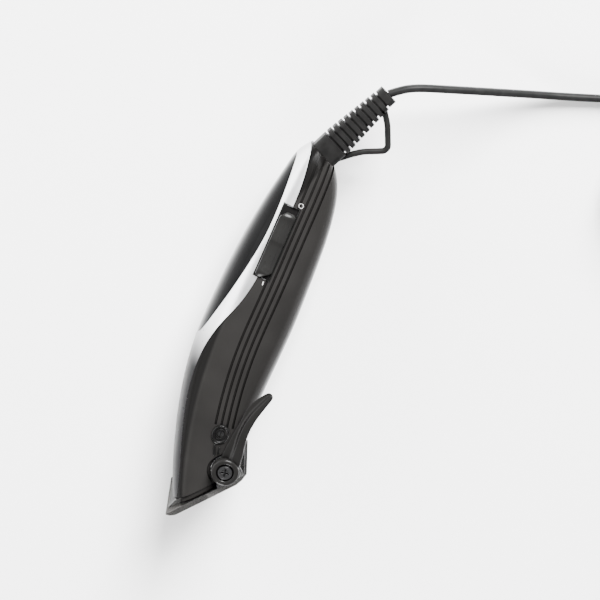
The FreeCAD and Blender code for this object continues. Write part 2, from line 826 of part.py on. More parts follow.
def carrier_shape():
    """A flat base on the blade's heel with one upright ear on the left."""
    low_along, high_along = size("carrier_front"), size("carrier_back")
    half = size("carrier_half_width")
    thick = size("carrier_thickness")
    base = Part.makeBox(
        high_along - low_along, thick, half + EAR_OUTER_Z, Vector(low_along, CARRIER_LOW, -half)
    )
    along, height, radius = size("hub_along"), size("hub_height"), size("ear_radius")
    ear_base = Part.makeBox(
        2 * radius, height - CARRIER_LOW, thick, Vector(along - radius, CARRIER_LOW, EAR_INNER_Z)
    )
    ear_top = Part.makeCylinder(radius, thick, Vector(along, height, EAR_INNER_Z))
    below = Part.makeBox(
        4 * radius, 2 * radius, 2 * thick, Vector(along - 2 * radius, CARRIER_LOW - 2 * radius, EAR_INNER_Z - 0.1)
    )
    body = base.multiFuse([ear_base, ear_top.cut(below)]).removeSplitter()
    swing = math.radians(size("lever_turn") / 2.0)
    throw = size("cam_throw")
    reach = size("cam_radius") + size("cam_clearance")
    window_along = along + throw * math.sin(swing)
    near, far = throw * math.cos(swing) - 0.1, throw + 0.1
    cuts = []
    for drop in (near, far):
        centre = Vector(window_along, height - drop, EAR_INNER_Z - 1.0)
        cuts.append(Part.makeCylinder(reach, thick + 2.0, centre))
    bridge_corner = Vector(window_along - reach, height - far, EAR_INNER_Z - 1.0)
    cuts.append(Part.makeBox(2 * reach, far - near, thick + 2.0, bridge_corner))
    for side in (-1.0, 1.0):
        hole_at = Vector(BLADE_SCREW_ALONG, CARRIER_LOW - 1.0, side * BLADE_SCREW_ACROSS)
        cuts.append(Part.makeCylinder(size("screw_radius") + 0.1, thick + 2.0, hole_at, Y_AXIS))
    return body.cut(cuts)


keep(feature("BladeCarrier", carrier_shape(), BLADE_FRAME), "blade_carrier")

tension_spring = new_body("TensionSpring", BLADE_FRAME)
leaf = flat_sketch(tension_spring, "spring_side", "XY_Plane")
outline(leaf, [
    (38.0, CARRIER_HIGH), (38.0, SPRING_HIGH), (25.5, SPRING_HIGH), (22.5, CUTTER_HIGH + 1.3),
    (20.0, CUTTER_HIGH + 0.7), (18.2, CUTTER_HIGH + 0.65), (18.2, CUTTER_HIGH + 0.15),
    (20.2, CUTTER_HIGH + 0.2), (22.6, CUTTER_HIGH + 0.8), (25.2, CARRIER_HIGH),
])
pad(tension_spring, leaf, "24 mm", symmetric=True)
window = flat_sketch(tension_spring, "spring_window", "XZ_Plane", offset=-10.0)
rectangle(window, 10.0, -7.0, 25.0, 7.0)
pocket(tension_spring, window, backwards=True)
spring_holes = flat_sketch(tension_spring, "spring_holes", "XZ_Plane", offset=-10.0)
for side in (-1.0, 1.0):
    circle(spring_holes, BLADE_SCREW_ALONG, side * BLADE_SCREW_ACROSS, "Sizes.screw_radius + 0.1")
pocket(tension_spring, spring_holes, backwards=True)
keep(tension_spring, "tension_spring")

blade_screws = []
for number, side in enumerate((-1.0, 1.0)):
    seat = blade_point(BLADE_SCREW_ALONG, SPRING_HIGH, side * BLADE_SCREW_ACROSS)
    downward = blade_turn.multVec(Y_AXIS) * -1
    blade_screws.append(screw(f"BladeScrew{number}", seat, downward, SPRING_HIGH - 0.3))
keep(grouped("BladeScrews", blade_screws), "blade_screws")

# ------------------------------------------------------------ taper lever

LEVER_FRAME = Placement(Vector(HUB.x, HUB.y, LEVER_BACK_Z), Rotation())
HUB_TOP = size("hub_thickness")
RECESS_FLOOR = HUB_TOP - size("hub_recess_depth")

# Outer and inner edges of the curved arm, about the hub's centre.
ARM_OUTER = [(-4.6, -3.6), (-13.2, -2.6), (-23.0, -1.0), (-30.4, -0.3), (-36.2, 3.0)]
ARM_TIP = [(-41.0, 6.9), (-38.9, 9.3)]
ARM_INNER = [(-32.4, 6.8), (-27.5, 5.2), (-21.4, 4.2), (-16.0, 4.0), (-10.9, 4.8), (-2.9, 5.3)]


def lever_shape():
    """Hub with a screw recess, a curved thumb arm and an eccentric cam."""
    hub = Part.makeCylinder(size("hub_radius"), HUB_TOP)
    outer, inner = Part.BSplineCurve(), Part.BSplineCurve()
    outer.interpolate([Vector(x, y, 0.4) for x, y in ARM_OUTER + ARM_TIP[:1]])
    inner.interpolate([Vector(x, y, 0.4) for x, y in ARM_TIP[1:] + ARM_INNER])
    tip = Part.makeLine(outer.value(outer.LastParameter), inner.value(inner.FirstParameter))
    root = Part.makeLine(inner.value(inner.LastParameter), outer.value(outer.FirstParameter))
    arm_face = Part.Face(Part.Wire([outer.toShape(), tip, inner.toShape(), root]))
    arm = arm_face.extrude(Vector(0, 0, size("arm_thickness")))
    half_turn = math.radians(size("lever_turn") / 2.0)
    throw = Vector(size("cam_throw") * math.sin(half_turn), -size("cam_throw") * math.cos(half_turn), 0)
    cam_centre = blade_turn.multVec(throw)
    cam_height = size("carrier_thickness") + size("ear_clearance") + 0.1
    cam = Part.makeCylinder(size("cam_radius"), cam_height, cam_centre, Z_AXIS * -1)
    bore = size("lever_screw_radius") + size("running_clearance")
    return hub.multiFuse([arm, cam]).cut([
        Part.makeCylinder(size("hub_recess_radius"), HUB_TOP, Vector(0, 0, RECESS_FLOOR)),
        Part.makeCylinder(bore, 20.0, Vector(0, 0, -10.0)),
    ])


keep(feature("TaperLever", lever_shape(), LEVER_FRAME), "taper_lever")

WASHER_Z = LEVER_BACK_Z + RECESS_FLOOR + 0.05
washer = new_body("LeverWasher", Placement(Vector(HUB.x, HUB.y, WASHER_Z), Rotation()))
ring = flat_sketch(washer, "washer_ring", "XY_Plane")
circle(ring, 0, 0, "Sizes.lever_head_radius + 0.3")
circle(ring, 0, 0, "Sizes.lever_screw_radius + Sizes.thread_clearance")
pad(washer, ring, "Sizes.washer_thickness")
keep(washer, "lever_washer")

lever_seat = Vector(HUB.x, HUB.y, WASHER_Z + size("washer_thickness"))
keep(
    screw("LeverScrew", lever_seat, Z_AXIS * -1, 11.5, "lever_screw_radius", "lever_head"),
    "lever_screw",
)

# -------------------------------------------------------- power adjuster

adjuster_top = Vector(ADJUSTER.x, ADJUSTER.y, ADJUSTER_TOP_Z)
adjuster = new_body("PowerScrew", Placement(adjuster_top, Rotation()))
half_profile = flat_sketch(adjuster, "adjuster_half", "XZ_Plane")
head_low = -size("adjuster_head_height")
tip_low = size("adjuster_tip_height") - ADJUSTER_TOP_Z
outline(half_profile, [
    (0.0, 0.0), (size("adjuster_radius"), 0.0), (size("adjuster_radius"), head_low),
    (size("adjuster_shank_radius"), head_low), (size("adjuster_shank_radius"), tip_low + 0.5),
    (size("adjuster_shank_radius") - 0.5, tip_low), (0.0, tip_low),
])
spun = adjuster.newObject("PartDesign::Revolution", "AdjusterTurned")
spun.Profile = half_profile
spun.ReferenceAxis = (base_feature(adjuster, "Z_Axis"), [""])
spun.Angle = 360.0
driver_slot = flat_sketch(adjuster, "adjuster_slot", "XY_Plane")
rectangle(driver_slot, -3.0, -0.3, 3.0, 0.3)
pocket(adjuster, driver_slot, "0.8 mm")
keep(adjuster, "power_screw")


def coil_spring(name, radius, wire, pitch, height, placement):
    """A round wire coil spring with open ends."""
    helix = Part.makeHelix(pitch, height, radius)
    start = Vector(radius, 0, 0)
    section = Part.Wire([Part.makeCircle(wire, start, Y_AXIS)])
    return feature(name, Part.Wire(helix).makePipeShell([section], True, True), placement)


SPRING_LOW_Z = size("adjuster_tip_height") + 0.6
BOSS_FOOT_Z = ADJUSTER_TOP_Z - WALL + 0.5 - size("adjuster_boss_depth")
keep(
    coil_spring(
        "PowerSpring", size("adjuster_shank_radius") + 0.6, 0.3, 1.2, BOSS_FOOT_Z - SPRING_LOW_Z - 0.35,
        Placement(Vector(ADJUSTER.x, ADJUSTER.y, SPRING_LOW_Z), Rotation()),
    ),
    "power_spring",
)

# ------------------------------------------------------------------ switch

switch_button = new_body("SwitchButton", SWITCH_FRAME)
gap = size("switch_gap")
button_low_x = -size("switch_recess_length") / 2.0 + size("switch_travel") + gap
button_high_x = size("switch_recess_length") / 2.0 - gap
half_width = size("switch_recess_width") / 2.0 - gap
floor_z = -size("switch_recess_depth") + gap
cap_sketch = flat_sketch(switch_button, "button_outline", "XY_Plane", offset=floor_z)
outline(cap_sketch, [
    (button_low_x + 2.6, -half_width), (button_high_x - 0.6, -half_width),
    (button_high_x, -half_width + 1.0), (button_high_x, half_width - 4.0),
    (button_high_x - 3.2, half_width), (button_low_x + 1.0, half_width),
    (button_low_x, half_width - 1.0), (button_low_x, -half_width + 2.4),
])
pad(switch_button, cap_sketch, "Sizes.switch_recess_depth - Sizes.switch_gap + Sizes.switch_proud")
stem_sketch = flat_sketch(switch_button, "button_stem", "XY_Plane", offset=floor_z)
rectangle(
    stem_sketch, -size("switch_stem_length") / 2.0, -size("switch_stem_width") / 2.0,
    size("switch_stem_length") / 2.0, size("switch_stem_width") / 2.0,
)
pad(switch_button, stem_sketch, "4.4 mm", backwards=True)
keep(switch_button, "switch_button")

switch_body = new_body("SwitchBody", SWITCH_FRAME)
box_sketch = flat_sketch(switch_body, "switch_box", "XY_Plane", offset=SWITCH_BODY_TOP)
half_length = size("switch_body_length") / 2.0
rectangle(
    box_sketch, -half_length, -size("switch_body_width") / 2.0, half_length, size("switch_body_width") / 2.0
)
pad(switch_body, box_sketch, "Sizes.switch_body_height", backwards=True)
well_sketch = flat_sketch(switch_body, "switch_well", "XY_Plane", offset=SWITCH_BODY_TOP)
well_half = size("switch_stem_width") / 2.0 + gap
rectangle(
    well_sketch,
    -size("switch_stem_length") / 2.0 - size("switch_travel") - gap, -well_half,
    size("switch_stem_length") / 2.0 + gap, well_half,
)
pocket(switch_body, well_sketch, "3.4 mm")
keep(switch_body, "switch_body")

# ------------------------------------------------------------------- motor

ARM_LOW_Y = MOTOR_CENTRE - size("arm_height") / 2.0
ARM_Z = size("arm_face_z")
ARM_START = size("pivot_along") + 2.0
ARM_END = 90.0
arm = block(
    "ArmatureArm", f"{ARM_END - ARM_START} mm", "Sizes.arm_height", "Sizes.arm_plate",
    Vector(ARM_START, ARM_LOW_Y, ARM_Z),
)
CORE_X = size("core_start")
RIVETS = [CORE_X + 6.0, CORE_X + size("core_length") - 6.0]
rivet_holes = []
for number, x in enumerate(RIVETS):
    rivet_holes.append(cylinder(
        f"ArmHole{number}", "1.2 mm", "30 mm", Vector(x, MOTOR_CENTRE, ARM_Z - 10.0)
    ))
keep(removed("ArmaturePlate", arm, rivet_holes), "armature_arm")

core = block(
    "ArmatureBar", "Sizes.core_length", "Sizes.core_height", "Sizes.armature_depth",
    Vector(CORE_X, CORE_LOW_Y, ARM_Z - size("armature_depth")),
)
core_holes = []
for number, x in enumerate(RIVETS):
    core_holes.append(cylinder(
        f"CoreHole{number}", "1.2 mm", "30 mm", Vector(x, MOTOR_CENTRE, ARM_Z - 15.0)
    ))
keep(removed("ArmatureCore", core, core_holes), "armature_core")

rivets = []
for number, x in enumerate(RIVETS):
    foot = Vector(x, MOTOR_CENTRE, ARM_Z - size("armature_depth"))
    stem = cylinder(
        f"RivetStem{number}", "1.18 mm", "Sizes.armature_depth + Sizes.arm_plate", foot
    )
    head = cylinder(
        f"RivetHead{number}", "2.2 mm", "0.8 mm",
        Vector(x, MOTOR_CENTRE, ARM_Z + size("arm_plate")),
    )
    rivets.append(joined(f"Rivet{number}", [stem, head]))
keep(grouped("ArmatureRivets", rivets), "armature_rivets")

finger = new_body("DriveFinger", BLADE_FRAME)
finger_side = flat_sketch(finger, "finger_side", "XY_Plane")
outline(finger_side, [
    (FINGER_ALONG[0], CUTTER_HIGH + 0.7), (FINGER_ALONG[1], CUTTER_HIGH + 0.7),
    (FINGER_ALONG[1], 8.8), (23.5, 11.2), (23.5, 14.6), (18.0, 13.6), (FINGER_ALONG[0], 10.6),
])
pad(finger, finger_side, "Sizes.finger_width", symmetric=True)
keep(finger, "drive_finger")

LEAF_Z = ARM_Z + size("arm_plate")
leaf_spring = block(
    "LeafSpring", "16 mm", "Sizes.arm_height", "0.5 mm", Vector(size("pivot_along") - 7.0, ARM_LOW_Y, LEAF_Z)
)
keep(leaf_spring, "leaf_spring")

bracket_block = block(
    "BracketBlock", f"{BRACKET_LENGTH} mm", "Sizes.arm_height + 1.0", f"{2 * BRACKET_HALF} mm",
    Vector(BRACKET_START, BRACKET_LOW_Y, -BRACKET_HALF),
)
spring_slot = block(
    "BracketSlot", "8 mm", "20 mm", "1.1 mm",
    Vector(BRACKET_START + BRACKET_LENGTH - 7.0, BRACKET_LOW_Y - 5.0, LEAF_Z - 0.3),
)
bracket_cuts = [spring_slot]
for number, z in enumerate((BRACKET_SCREW_Z, -BRACKET_SCREW_Z)):
    bracket_cuts.append(cylinder(
        f"BracketHole{number}", "Sizes.screw_radius + 0.1", "30 mm",
        Vector(BRACKET_SCREW_X, BRACKET_LOW_Y - 5.0, z), Y_AXIS,
    ))
keep(removed("PivotBracket", bracket_block, bracket_cuts), "pivot_bracket")

bracket_screws = []
for number, z in enumerate((BRACKET_SCREW_Z, -BRACKET_SCREW_Z)):
    seat = Vector(BRACKET_SCREW_X, BRACKET_LOW_Y, z)
    bracket_screws.append(screw(f"BracketScrew{number}", seat, Y_AXIS, size("arm_height") + 7.5))
keep(grouped("BracketScrews", bracket_screws), "bracket_screws")

stator = new_body("StatorCore", Placement(Vector(CORE_X, MOTOR_CENTRE, POLE_Z), Rotation()))
stator_side = flat_sketch(stator, "stator_side", "XZ_Plane")
total, leg = size("core_length"), size("core_leg")
middle_low = total / 2.0 - leg / 2.0
back_z = size("core_back") - size("core_depth")
outline(stator_side, [
    (0.0, -size("core_depth")), (total, -size("core_depth")), (total, 0.0), (total - leg, 0.0),
    (total - leg, back_z), (middle_low + leg, back_z), (middle_low + leg, 0.0), (middle_low, 0.0),
    (middle_low, back_z), (leg, back_z), (leg, 0.0), (0.0, 0.0),
])
pad(stator, stator_side, "Sizes.core_height", symmetric=True)
stator_holes = flat_sketch(stator, "stator_holes", "XZ_Plane", offset=-20.0)
for x in MOTOR_SCREWS:
    circle(stator_holes, x - CORE_X, MOTOR_SCREW_Z - POLE_Z, "Sizes.screw_radius + 0.1")
pocket(stator, stator_holes, symmetric=True)
keep(stator, "stator_core")

motor_screws = []
for number, x in enumerate(MOTOR_SCREWS):
    seat = Vector(x, CORE_LOW_Y, MOTOR_SCREW_Z)
    motor_screws.append(screw(f"MotorScrew{number}", seat, Y_AXIS, size("core_height") + 6.5))
keep(grouped("MotorScrews", motor_screws), "motor_screws")

LEG_X = CORE_X + size("core_length") / 2.0
GAP = size("part_gap")
BOBBIN_LOW_Z = CORE_BACK_Z + size("core_back") + GAP
BOBBIN_HIGH_Z = POLE_Z - GAP
SPOOL_HALF_X = size("core_leg") / 2.0 + GAP + size("bobbin_wall")
SPOOL_HALF_Y = size("core_height") / 2.0 + GAP + size("bobbin_wall")
WINDOW = (size("core_length") - 3 * size("core_leg")) / 2.0
FLANGE_REACH = WINDOW - 2 * GAP - size("bobbin_wall")


def ring_block(half_x, half_y, inner_x, inner_y, low, high):
    """A square ring about the stator's middle leg."""
    outer = Part.makeBox(
        2 * half_x, 2 * half_y, high - low, Vector(LEG_X - half_x, MOTOR_CENTRE - half_y, low)
    )
    inner = Part.makeBox(
        2 * inner_x, 2 * inner_y, high - low, Vector(LEG_X - inner_x, MOTOR_CENTRE - inner_y, low)
    )
    return outer.cut(inner)


def bobbin_shape():
    """A spool with two flanges."""
    inner_x = size("core_leg") / 2.0 + GAP
    inner_y = size("core_height") / 2.0 + GAP
    wall = size("bobbin_wall")
    far_x, far_y = SPOOL_HALF_X + FLANGE_REACH, SPOOL_HALF_Y + FLANGE_REACH
    spool = ring_block(SPOOL_HALF_X, SPOOL_HALF_Y, inner_x, inner_y, BOBBIN_LOW_Z, BOBBIN_HIGH_Z)
    low = ring_block(far_x, far_y, inner_x, inner_y, BOBBIN_LOW_Z, BOBBIN_LOW_Z + wall)
    high = ring_block(far_x, far_y, inner_x, inner_y, BOBBIN_HIGH_Z - wall, BOBBIN_HIGH_Z)
    return spool.multiFuse([low, high]).removeSplitter()


keep(feature("CoilBobbin", bobbin_shape()), "coil_bobbin")
winding = ring_block(
    SPOOL_HALF_X + FLANGE_REACH - 0.5, SPOOL_HALF_Y + FLANGE_REACH - 0.5, SPOOL_HALF_X, SPOOL_HALF_Y,
    BOBBIN_LOW_Z + size("bobbin_wall"), BOBBIN_HIGH_Z - size("bobbin_wall"),
)
keep(feature("CoilWinding", winding), "coil_winding")

# ------------------------------------------------- cord guard and its clamp


def rounded_slab(width, depth, length, start, corner=2.4):
    """A slab with rounded corners, square to the guard's own axis."""
    slab = Part.makeBox(length, width, depth, Vector(start, -width / 2.0, -depth / 2.0))
    along = [edge for edge in slab.Edges if abs(edge.tangentAt(edge.FirstParameter).x) > 0.99]
    return slab.makeFillet(corner, along)


def slab_outline(width, depth, along):
    """The rounded outline of such a slab at one place along the guard."""
    slab = rounded_slab(width, depth, 1.0, along)
    return min(slab.Faces, key=lambda face: face.CenterOfMass.x).OuterWire


RIB_COUNT = 9
RIBS_START = size("guard_base_length") + 1.1
COLLAR_START = RIBS_START + RIB_COUNT * size("guard_rib_pitch")
GUARD_LENGTH = COLLAR_START + size("guard_collar_length")
MOUTH_DEPTH = 1.3

# The hanging loop's middle line, in the guard's own frame, and its bends.
LOOP_LINE = [(3.2, -5.6), (8.2, -7.9), (13.0, -10.6), (21.3, -17.95), (28.9, -9.3), (33.2, -1.6)]
LOOP_BENDS = [20.0, 20.0, 2.6, 20.0]


def rod_through(points, radius, bends):
    """A round rod along straight runs with rounded bends."""
    runs = [Vector(*point) for point in points]
    edges = []
    start = runs[0]
    for before, corner, after, bend in zip(runs, runs[1:], runs[2:], bends):
        into = (corner - before).normalize()
        out = (after - corner).normalize()
        turn = into.getAngle(out)
        back = bend * math.tan(turn / 2.0)
        enter, leave = corner - into * back, corner + out * back
        half_way = (into * -1 + out).normalize()
        inside = corner + half_way * (bend / math.cos(turn / 2.0) - bend)
        edges.append(Part.LineSegment(start, enter).toShape())
        edges.append(Part.Arc(enter, inside, leave).toShape())
        start = leave
    edges.append(Part.LineSegment(start, runs[-1]).toShape())
    path = Part.Wire(edges)
    section = Part.Wire([Part.makeCircle(radius, runs[0], runs[1] - runs[0])])
    return path.makePipeShell([section], True, False)


def guard_shape():
    """Ribbed strain relief: base, tapered core, ribs, collar, neck and loop."""
    width, depth = size("guard_width"), size("guard_depth")
    end_width, end_depth = size("guard_end_width"), size("guard_end_depth")
    pieces = [rounded_slab(width, depth, size("guard_base_length"), 0.0)]
    for index in range(RIB_COUNT):
        share = index / (RIB_COUNT - 1)
        pieces.append(rounded_slab(
            width + share * (end_width - width), depth + share * (end_depth - depth),
            size("guard_rib_thickness"), RIBS_START + index * size("guard_rib_pitch"),
        ))
    core_start = size("guard_base_length") - 0.5
    core_length = COLLAR_START - core_start + 0.5
    core_ends = [
        slab_outline(size("guard_core_width"), size("guard_core_depth"), core_start),
        slab_outline(size("guard_core_end_width"), size("guard_core_end_depth"), core_start + core_length),
    ]
    pieces.append(Part.makeLoft(core_ends, True, True))
    pieces.append(rounded_slab(
        size("guard_collar_width"), size("guard_collar_width"), size("guard_collar_length"), COLLAR_START
    ))
    neck = size("guard_neck_length")
    pieces.append(Part.makeCylinder(size("guard_neck_radius"), neck + 0.5, Vector(-neck, 0, 0), X_AXIS))
    loop = [(along, aside, 0.0) for along, aside in LOOP_LINE]
    pieces.append(rod_through(loop, size("hanging_rod_radius"), LOOP_BENDS))
    mouth = Part.makeCylinder(
        size("cord_diameter") / 2.0 + 0.35, MOUTH_DEPTH, Vector(GUARD_LENGTH - MOUTH_DEPTH, 0, 0), X_AXIS
    )
    return pieces[0].multiFuse(pieces[1:]).cut(mouth)


keep(feature("CordGuard", guard_shape(), GUARD_FRAME), "cord_guard")

clamp_bar = block(
    "ClampBar", f"{CLAMP_X[1] - CLAMP_X[0]} mm", f"{CLAMP_Y[1] - CLAMP_Y[0]} mm", f"{2 * CLAMP_HALF} mm",
    Vector(CLAMP_X[0], CLAMP_Y[0], -CLAMP_HALF),
)
clamp_holes = []
clamp_screws = []
for number, z in enumerate((CLAMP_SCREW_Z, -CLAMP_SCREW_Z)):
    seat = Vector(CLAMP_SCREW_X, CLAMP_Y[0], z)
    clamp_holes.append(cylinder(f"ClampHole{number}", "1.05 mm", "30 mm", seat - Y_AXIS * 5, Y_AXIS))
    head = cylinder(f"ClampHead{number}", "1.7 mm", "1.1 mm", seat, Y_AXIS * -1)
    shank = cylinder(f"ClampShank{number}", "1 mm", "9.6 mm", seat, Y_AXIS)
    clamp_screws.append(joined(f"ClampScrew{number}", [head, shank]))
keep(removed("CordClamp", clamp_bar, clamp_holes), "cord_clamp")
keep(grouped("ClampScrews", clamp_screws), "clamp_screws")


def wire_run(points, radius):
    """A thin insulated wire: straight pieces with round elbows."""
    corners = [Vector(*point) for point in points]
    pieces = []
    for low, high in zip(corners, corners[1:]):
        pieces.append(Part.makeCylinder(radius, (high - low).Length, low, high - low))
    for corner in corners[1:-1]:
        pieces.append(Part.makeSphere(radius, corner))
    return pieces[0].multiFuse(pieces[1:])


WIRE_RADIUS = 0.8
WIRE_STUB = 2.0


def beside_switch(reach):
    """A point on the switch's long middle line, in the model's frame."""
    return tuple(SWITCH_FRAME.multVec(Vector(reach, 0.0, SWITCH_BODY_TOP - 3.0)))


coil_side = Vector(
    LEG_X - 3.0, MOTOR_CENTRE + SPOOL_HALF_Y + FLANGE_REACH - 0.5, (BOBBIN_LOW_Z + BOBBIN_HIGH_Z) / 2.0
)
lead_wires = Part.makeCompound([
    wire_run([
        (CLAMP_X[1], -4.6, 2.2), (CLAMP_X[1] + 1.2, -4.6, 2.2), (-44.5, -7.0, 6.4),
        (-41.5, -6.0, 11.4), beside_switch(-half_length - WIRE_STUB), beside_switch(-half_length),
    ], WIRE_RADIUS),
    wire_run([
        beside_switch(half_length), beside_switch(half_length + WIRE_STUB), (0.0, 1.0, 13.5),
        (10.0, 8.0, 5.0), (LEG_X + 3.0, 7.6, coil_side.z),
        (LEG_X + 3.0, coil_side.y, coil_side.z),
    ], WIRE_RADIUS),
    wire_run([
        (CLAMP_X[1], -2.4, -2.2), (CLAMP_X[1] + 1.2, -2.4, -2.2), (-46.0, 2.5, -5.3),
        (-38.5, 5.2, -2.4), (-8.0, 7.8, -4.0),
        (coil_side.x, 7.6, coil_side.z), tuple(coil_side),
    ], WIRE_RADIUS),
])
keep(feature("LeadWires", lead_wires), "lead_wires")

# ---------------------------------------------------------- cord and plug

CORD_RADIUS = size("cord_diameter") / 2.0
FLOOR_Z = -GRIP_HALF
COLLAR_MOUTH = GUARD_FRAME.multVec(Vector(GUARD_LENGTH, 0, 0))

# The free lead's route: out of the collar, down to the surface, away to the coil.
CORD_ROUTE = [
    (-98.3, 22.3, 0.0), (-101.3, 28.6, -0.4), (-104.0, 38.6, -2.0), (-107.2, 51.5, -6.0),
    (-110.4, 65.5, -12.0), (-113.7, 79.5, -17.4), (-117.2, 93.5, -20.2), (-121.2, 107.5, -20.8),
    (-126.5, 125.5, -20.6), (-130.0, 137.6, -20.3),
]
COIL_CENTRE = (-103.8, 158.4)
COIL_LIFT = 0.6
TAIL_ROUTE = [
    (-103.4, 191.6, -11.2), (-97.2, 193.6, -13.9), (-90.3, 195.6, -16.1), (-83.5, 197.3, -16.7),
]
PLUG_HEADING = 14.0


def cord_tube(points, radius):
    """A tube on straight runs, each bend as large as its two runs allow."""
    corners = [Vector(*point) for point in points]
    edges = []
    start = corners[0]
    for before, corner, after in zip(corners, corners[1:], corners[2:]):
        into, out = corner - before, after - corner
        back = 0.45 * min(into.Length, out.Length)
        turn = into.getAngle(out)
        bend = back / math.tan(turn / 2.0)
        print(f"cord bend {math.degrees(turn):.1f} degrees, radius {bend:.1f} mm")
        into.normalize()
        out.normalize()
        enter, leave = corner - into * back, corner + out * back
        half_way = (into * -1 + out).normalize()
        inside = corner + half_way * (bend / math.cos(turn / 2.0) - bend)
        edges.append(Part.LineSegment(start, enter).toShape())
        edges.append(Part.Arc(enter, inside, leave).toShape())
        start = leave
    edges.append(Part.LineSegment(start, corners[-1]).toShape())
    path = Part.Wire(edges)
    section = Part.Wire([Part.makeCircle(radius, corners[0], corners[1] - corners[0])])
    tube = path.makePipeShell([section], True, False)
    expected = math.pi * radius ** 2 * path.Length
    print(f"cord tube {path.Length:.1f} mm long, volume ratio {tube.Volume / expected:.4f}")
    return tube


CORD_NODES = []


def keep_cord(item, label):
    """A finished sub-part that belongs to the free cord."""
    CORD_NODES.append(item)
    return keep(item, label)


route = [tuple(COLLAR_MOUTH)] + CORD_ROUTE
keep_cord(feature("CordTube", cord_tube(route, CORD_RADIUS)), "cord_tube")

COIL_INNER = size("coil_radius") - size("coil_band") / 2.0
COIL_OUTER = size("coil_radius") + size("coil_band") / 2.0
coil_base = Vector(COIL_CENTRE[0], COIL_CENTRE[1], FLOOR_Z + COIL_LIFT)
coil_outer = cylinder("CoilOuter", "Sizes.coil_radius + Sizes.coil_band / 2", "Sizes.coil_height", coil_base)
coil_inner = cylinder("CoilInner", "Sizes.coil_radius - Sizes.coil_band / 2", "Sizes.coil_height", coil_base)
keep_cord(removed("CordCoil", coil_outer, [coil_inner]), "cord_coil")

TIE_WIDTH = 9.0
TIE_EASE = 0.12
TIE_ROOM = size("coil_height") + 2 * TIE_EASE
tie_height = size("coil_height") + 2 * COIL_LIFT
tie_band = size("coil_band") + 2 * COIL_LIFT
tie_turn = Placement(Vector(COIL_CENTRE[0], COIL_CENTRE[1], FLOOR_Z), Rotation(Z_AXIS, -60.0))
tie = Part.makeBox(tie_band, TIE_WIDTH, tie_height, Vector(COIL_INNER - COIL_LIFT, -TIE_WIDTH / 2, 0))
tie = tie.cut([
    Part.makeCylinder(COIL_OUTER + TIE_EASE, TIE_ROOM, Vector(0, 0, COIL_LIFT - TIE_EASE)).cut(
        Part.makeCylinder(COIL_INNER - TIE_EASE, TIE_ROOM, Vector(0, 0, COIL_LIFT - TIE_EASE))
    )
])
keep_cord(feature("CordTie", tie, tie_turn), "cord_tie")

keep_cord(feature("CordTail", cord_tube(TAIL_ROUTE, CORD_RADIUS)), "cord_tail")

PLUG_FRAME = Placement(Vector(*TAIL_ROUTE[-1]), Rotation(Z_AXIS, PLUG_HEADING))
relief = doc.addObject("Part::Cone", "PlugRelief")
bound(relief, Radius1="Sizes.cord_diameter / 2 + 0.5", Radius2="Sizes.cord_diameter / 2 + 2.2",
      Height="Sizes.plug_relief_length")
relief.Placement = PLUG_FRAME.multiply(Placement(Vector(), Rotation(Z_AXIS, X_AXIS)))
keep_cord(relief, "plug_relief")

plug = new_body("PlugBody", PLUG_FRAME)
plug_top = flat_sketch(plug, "plug_top", "XY_Plane", offset=-size("plug_height") / 2.0)
PLUG_START = size("plug_relief_length")
PLUG_END = PLUG_START + size("plug_length")
plug_half = size("plug_width") / 2.0
outline(plug_top, [
    (PLUG_START, -6.0), (PLUG_START + 9.0, -8.5), (PLUG_END - 14.0, -plug_half + 1.0),
    (PLUG_END - 9.0, -plug_half), (PLUG_END, -plug_half), (PLUG_END, plug_half),
    (PLUG_END - 9.0, plug_half), (PLUG_END - 14.0, plug_half - 1.0), (PLUG_START + 9.0, 8.5),
    (PLUG_START, 6.0),
])
pad(plug, plug_top, "Sizes.plug_height")
keep_cord(plug, "plug_body")

pins = []
for number, side in enumerate((-1.0, 1.0)):
    foot = PLUG_FRAME.multVec(Vector(PLUG_END, side * size("pin_spacing") / 2.0, 0.0))
    heading = PLUG_FRAME.Rotation.multVec(X_AXIS)
    rod = cylinder(f"PinRod{number}", "Sizes.pin_radius", "Sizes.pin_length - Sizes.pin_radius", foot, heading)
    dome = doc.addObject("Part::Sphere", f"PinDome{number}")
    bound(dome, Radius="Sizes.pin_radius")
    reach = size("pin_length") - size("pin_radius")
    dome.Placement = Placement(foot + heading * reach, Rotation())
    pins.append(joined(f"Pin{number}", [rod, dome]))
keep_cord(grouped("PlugPins", pins), "plug_pins")

# ---------------------------------------------------------- placing and export

doc.recompute()
for item in doc.Objects:
    if "Invalid" in item.State or "Error" in item.State:
        raise RuntimeError(f"{item.Name} did not build: {item.State}")
for item in NODES:
    if item.Shape.isNull() or not item.Shape.isValid():
        raise RuntimeError(f"{item.Label} has no valid shape")

own_box = FreeCAD.BoundBox()
for item in NODES:
    if item not in CORD_NODES:
        own_box.add(item.Shape.optimalBoundingBox())
origin = Vector(own_box.Center.x, own_box.Center.y, own_box.ZMin)
print(f"model origin moves by {-origin.x:.4f} {-origin.y:.4f} {-origin.z:.4f}")

os.makedirs("parts", exist_ok=True)
for item in NODES:
    shape = item.Shape.copy()
    shape.translate(origin * -1)
    shape.exportStep(os.path.join("parts", item.Label + ".step"))
    print(f"{item.Label}: {len(shape.Solids)} solids, {shape.Volume:.1f} cubic mm")
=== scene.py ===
"""Looks of the corded hair clipper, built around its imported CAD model."""

import json
import logging
import math
from dataclasses import dataclass, field
from enum import Enum
from typing import Any, Sequence

import bmesh
import bpy
from mathutils import Matrix, Vector
from mathutils.bvhtree import BVHTree


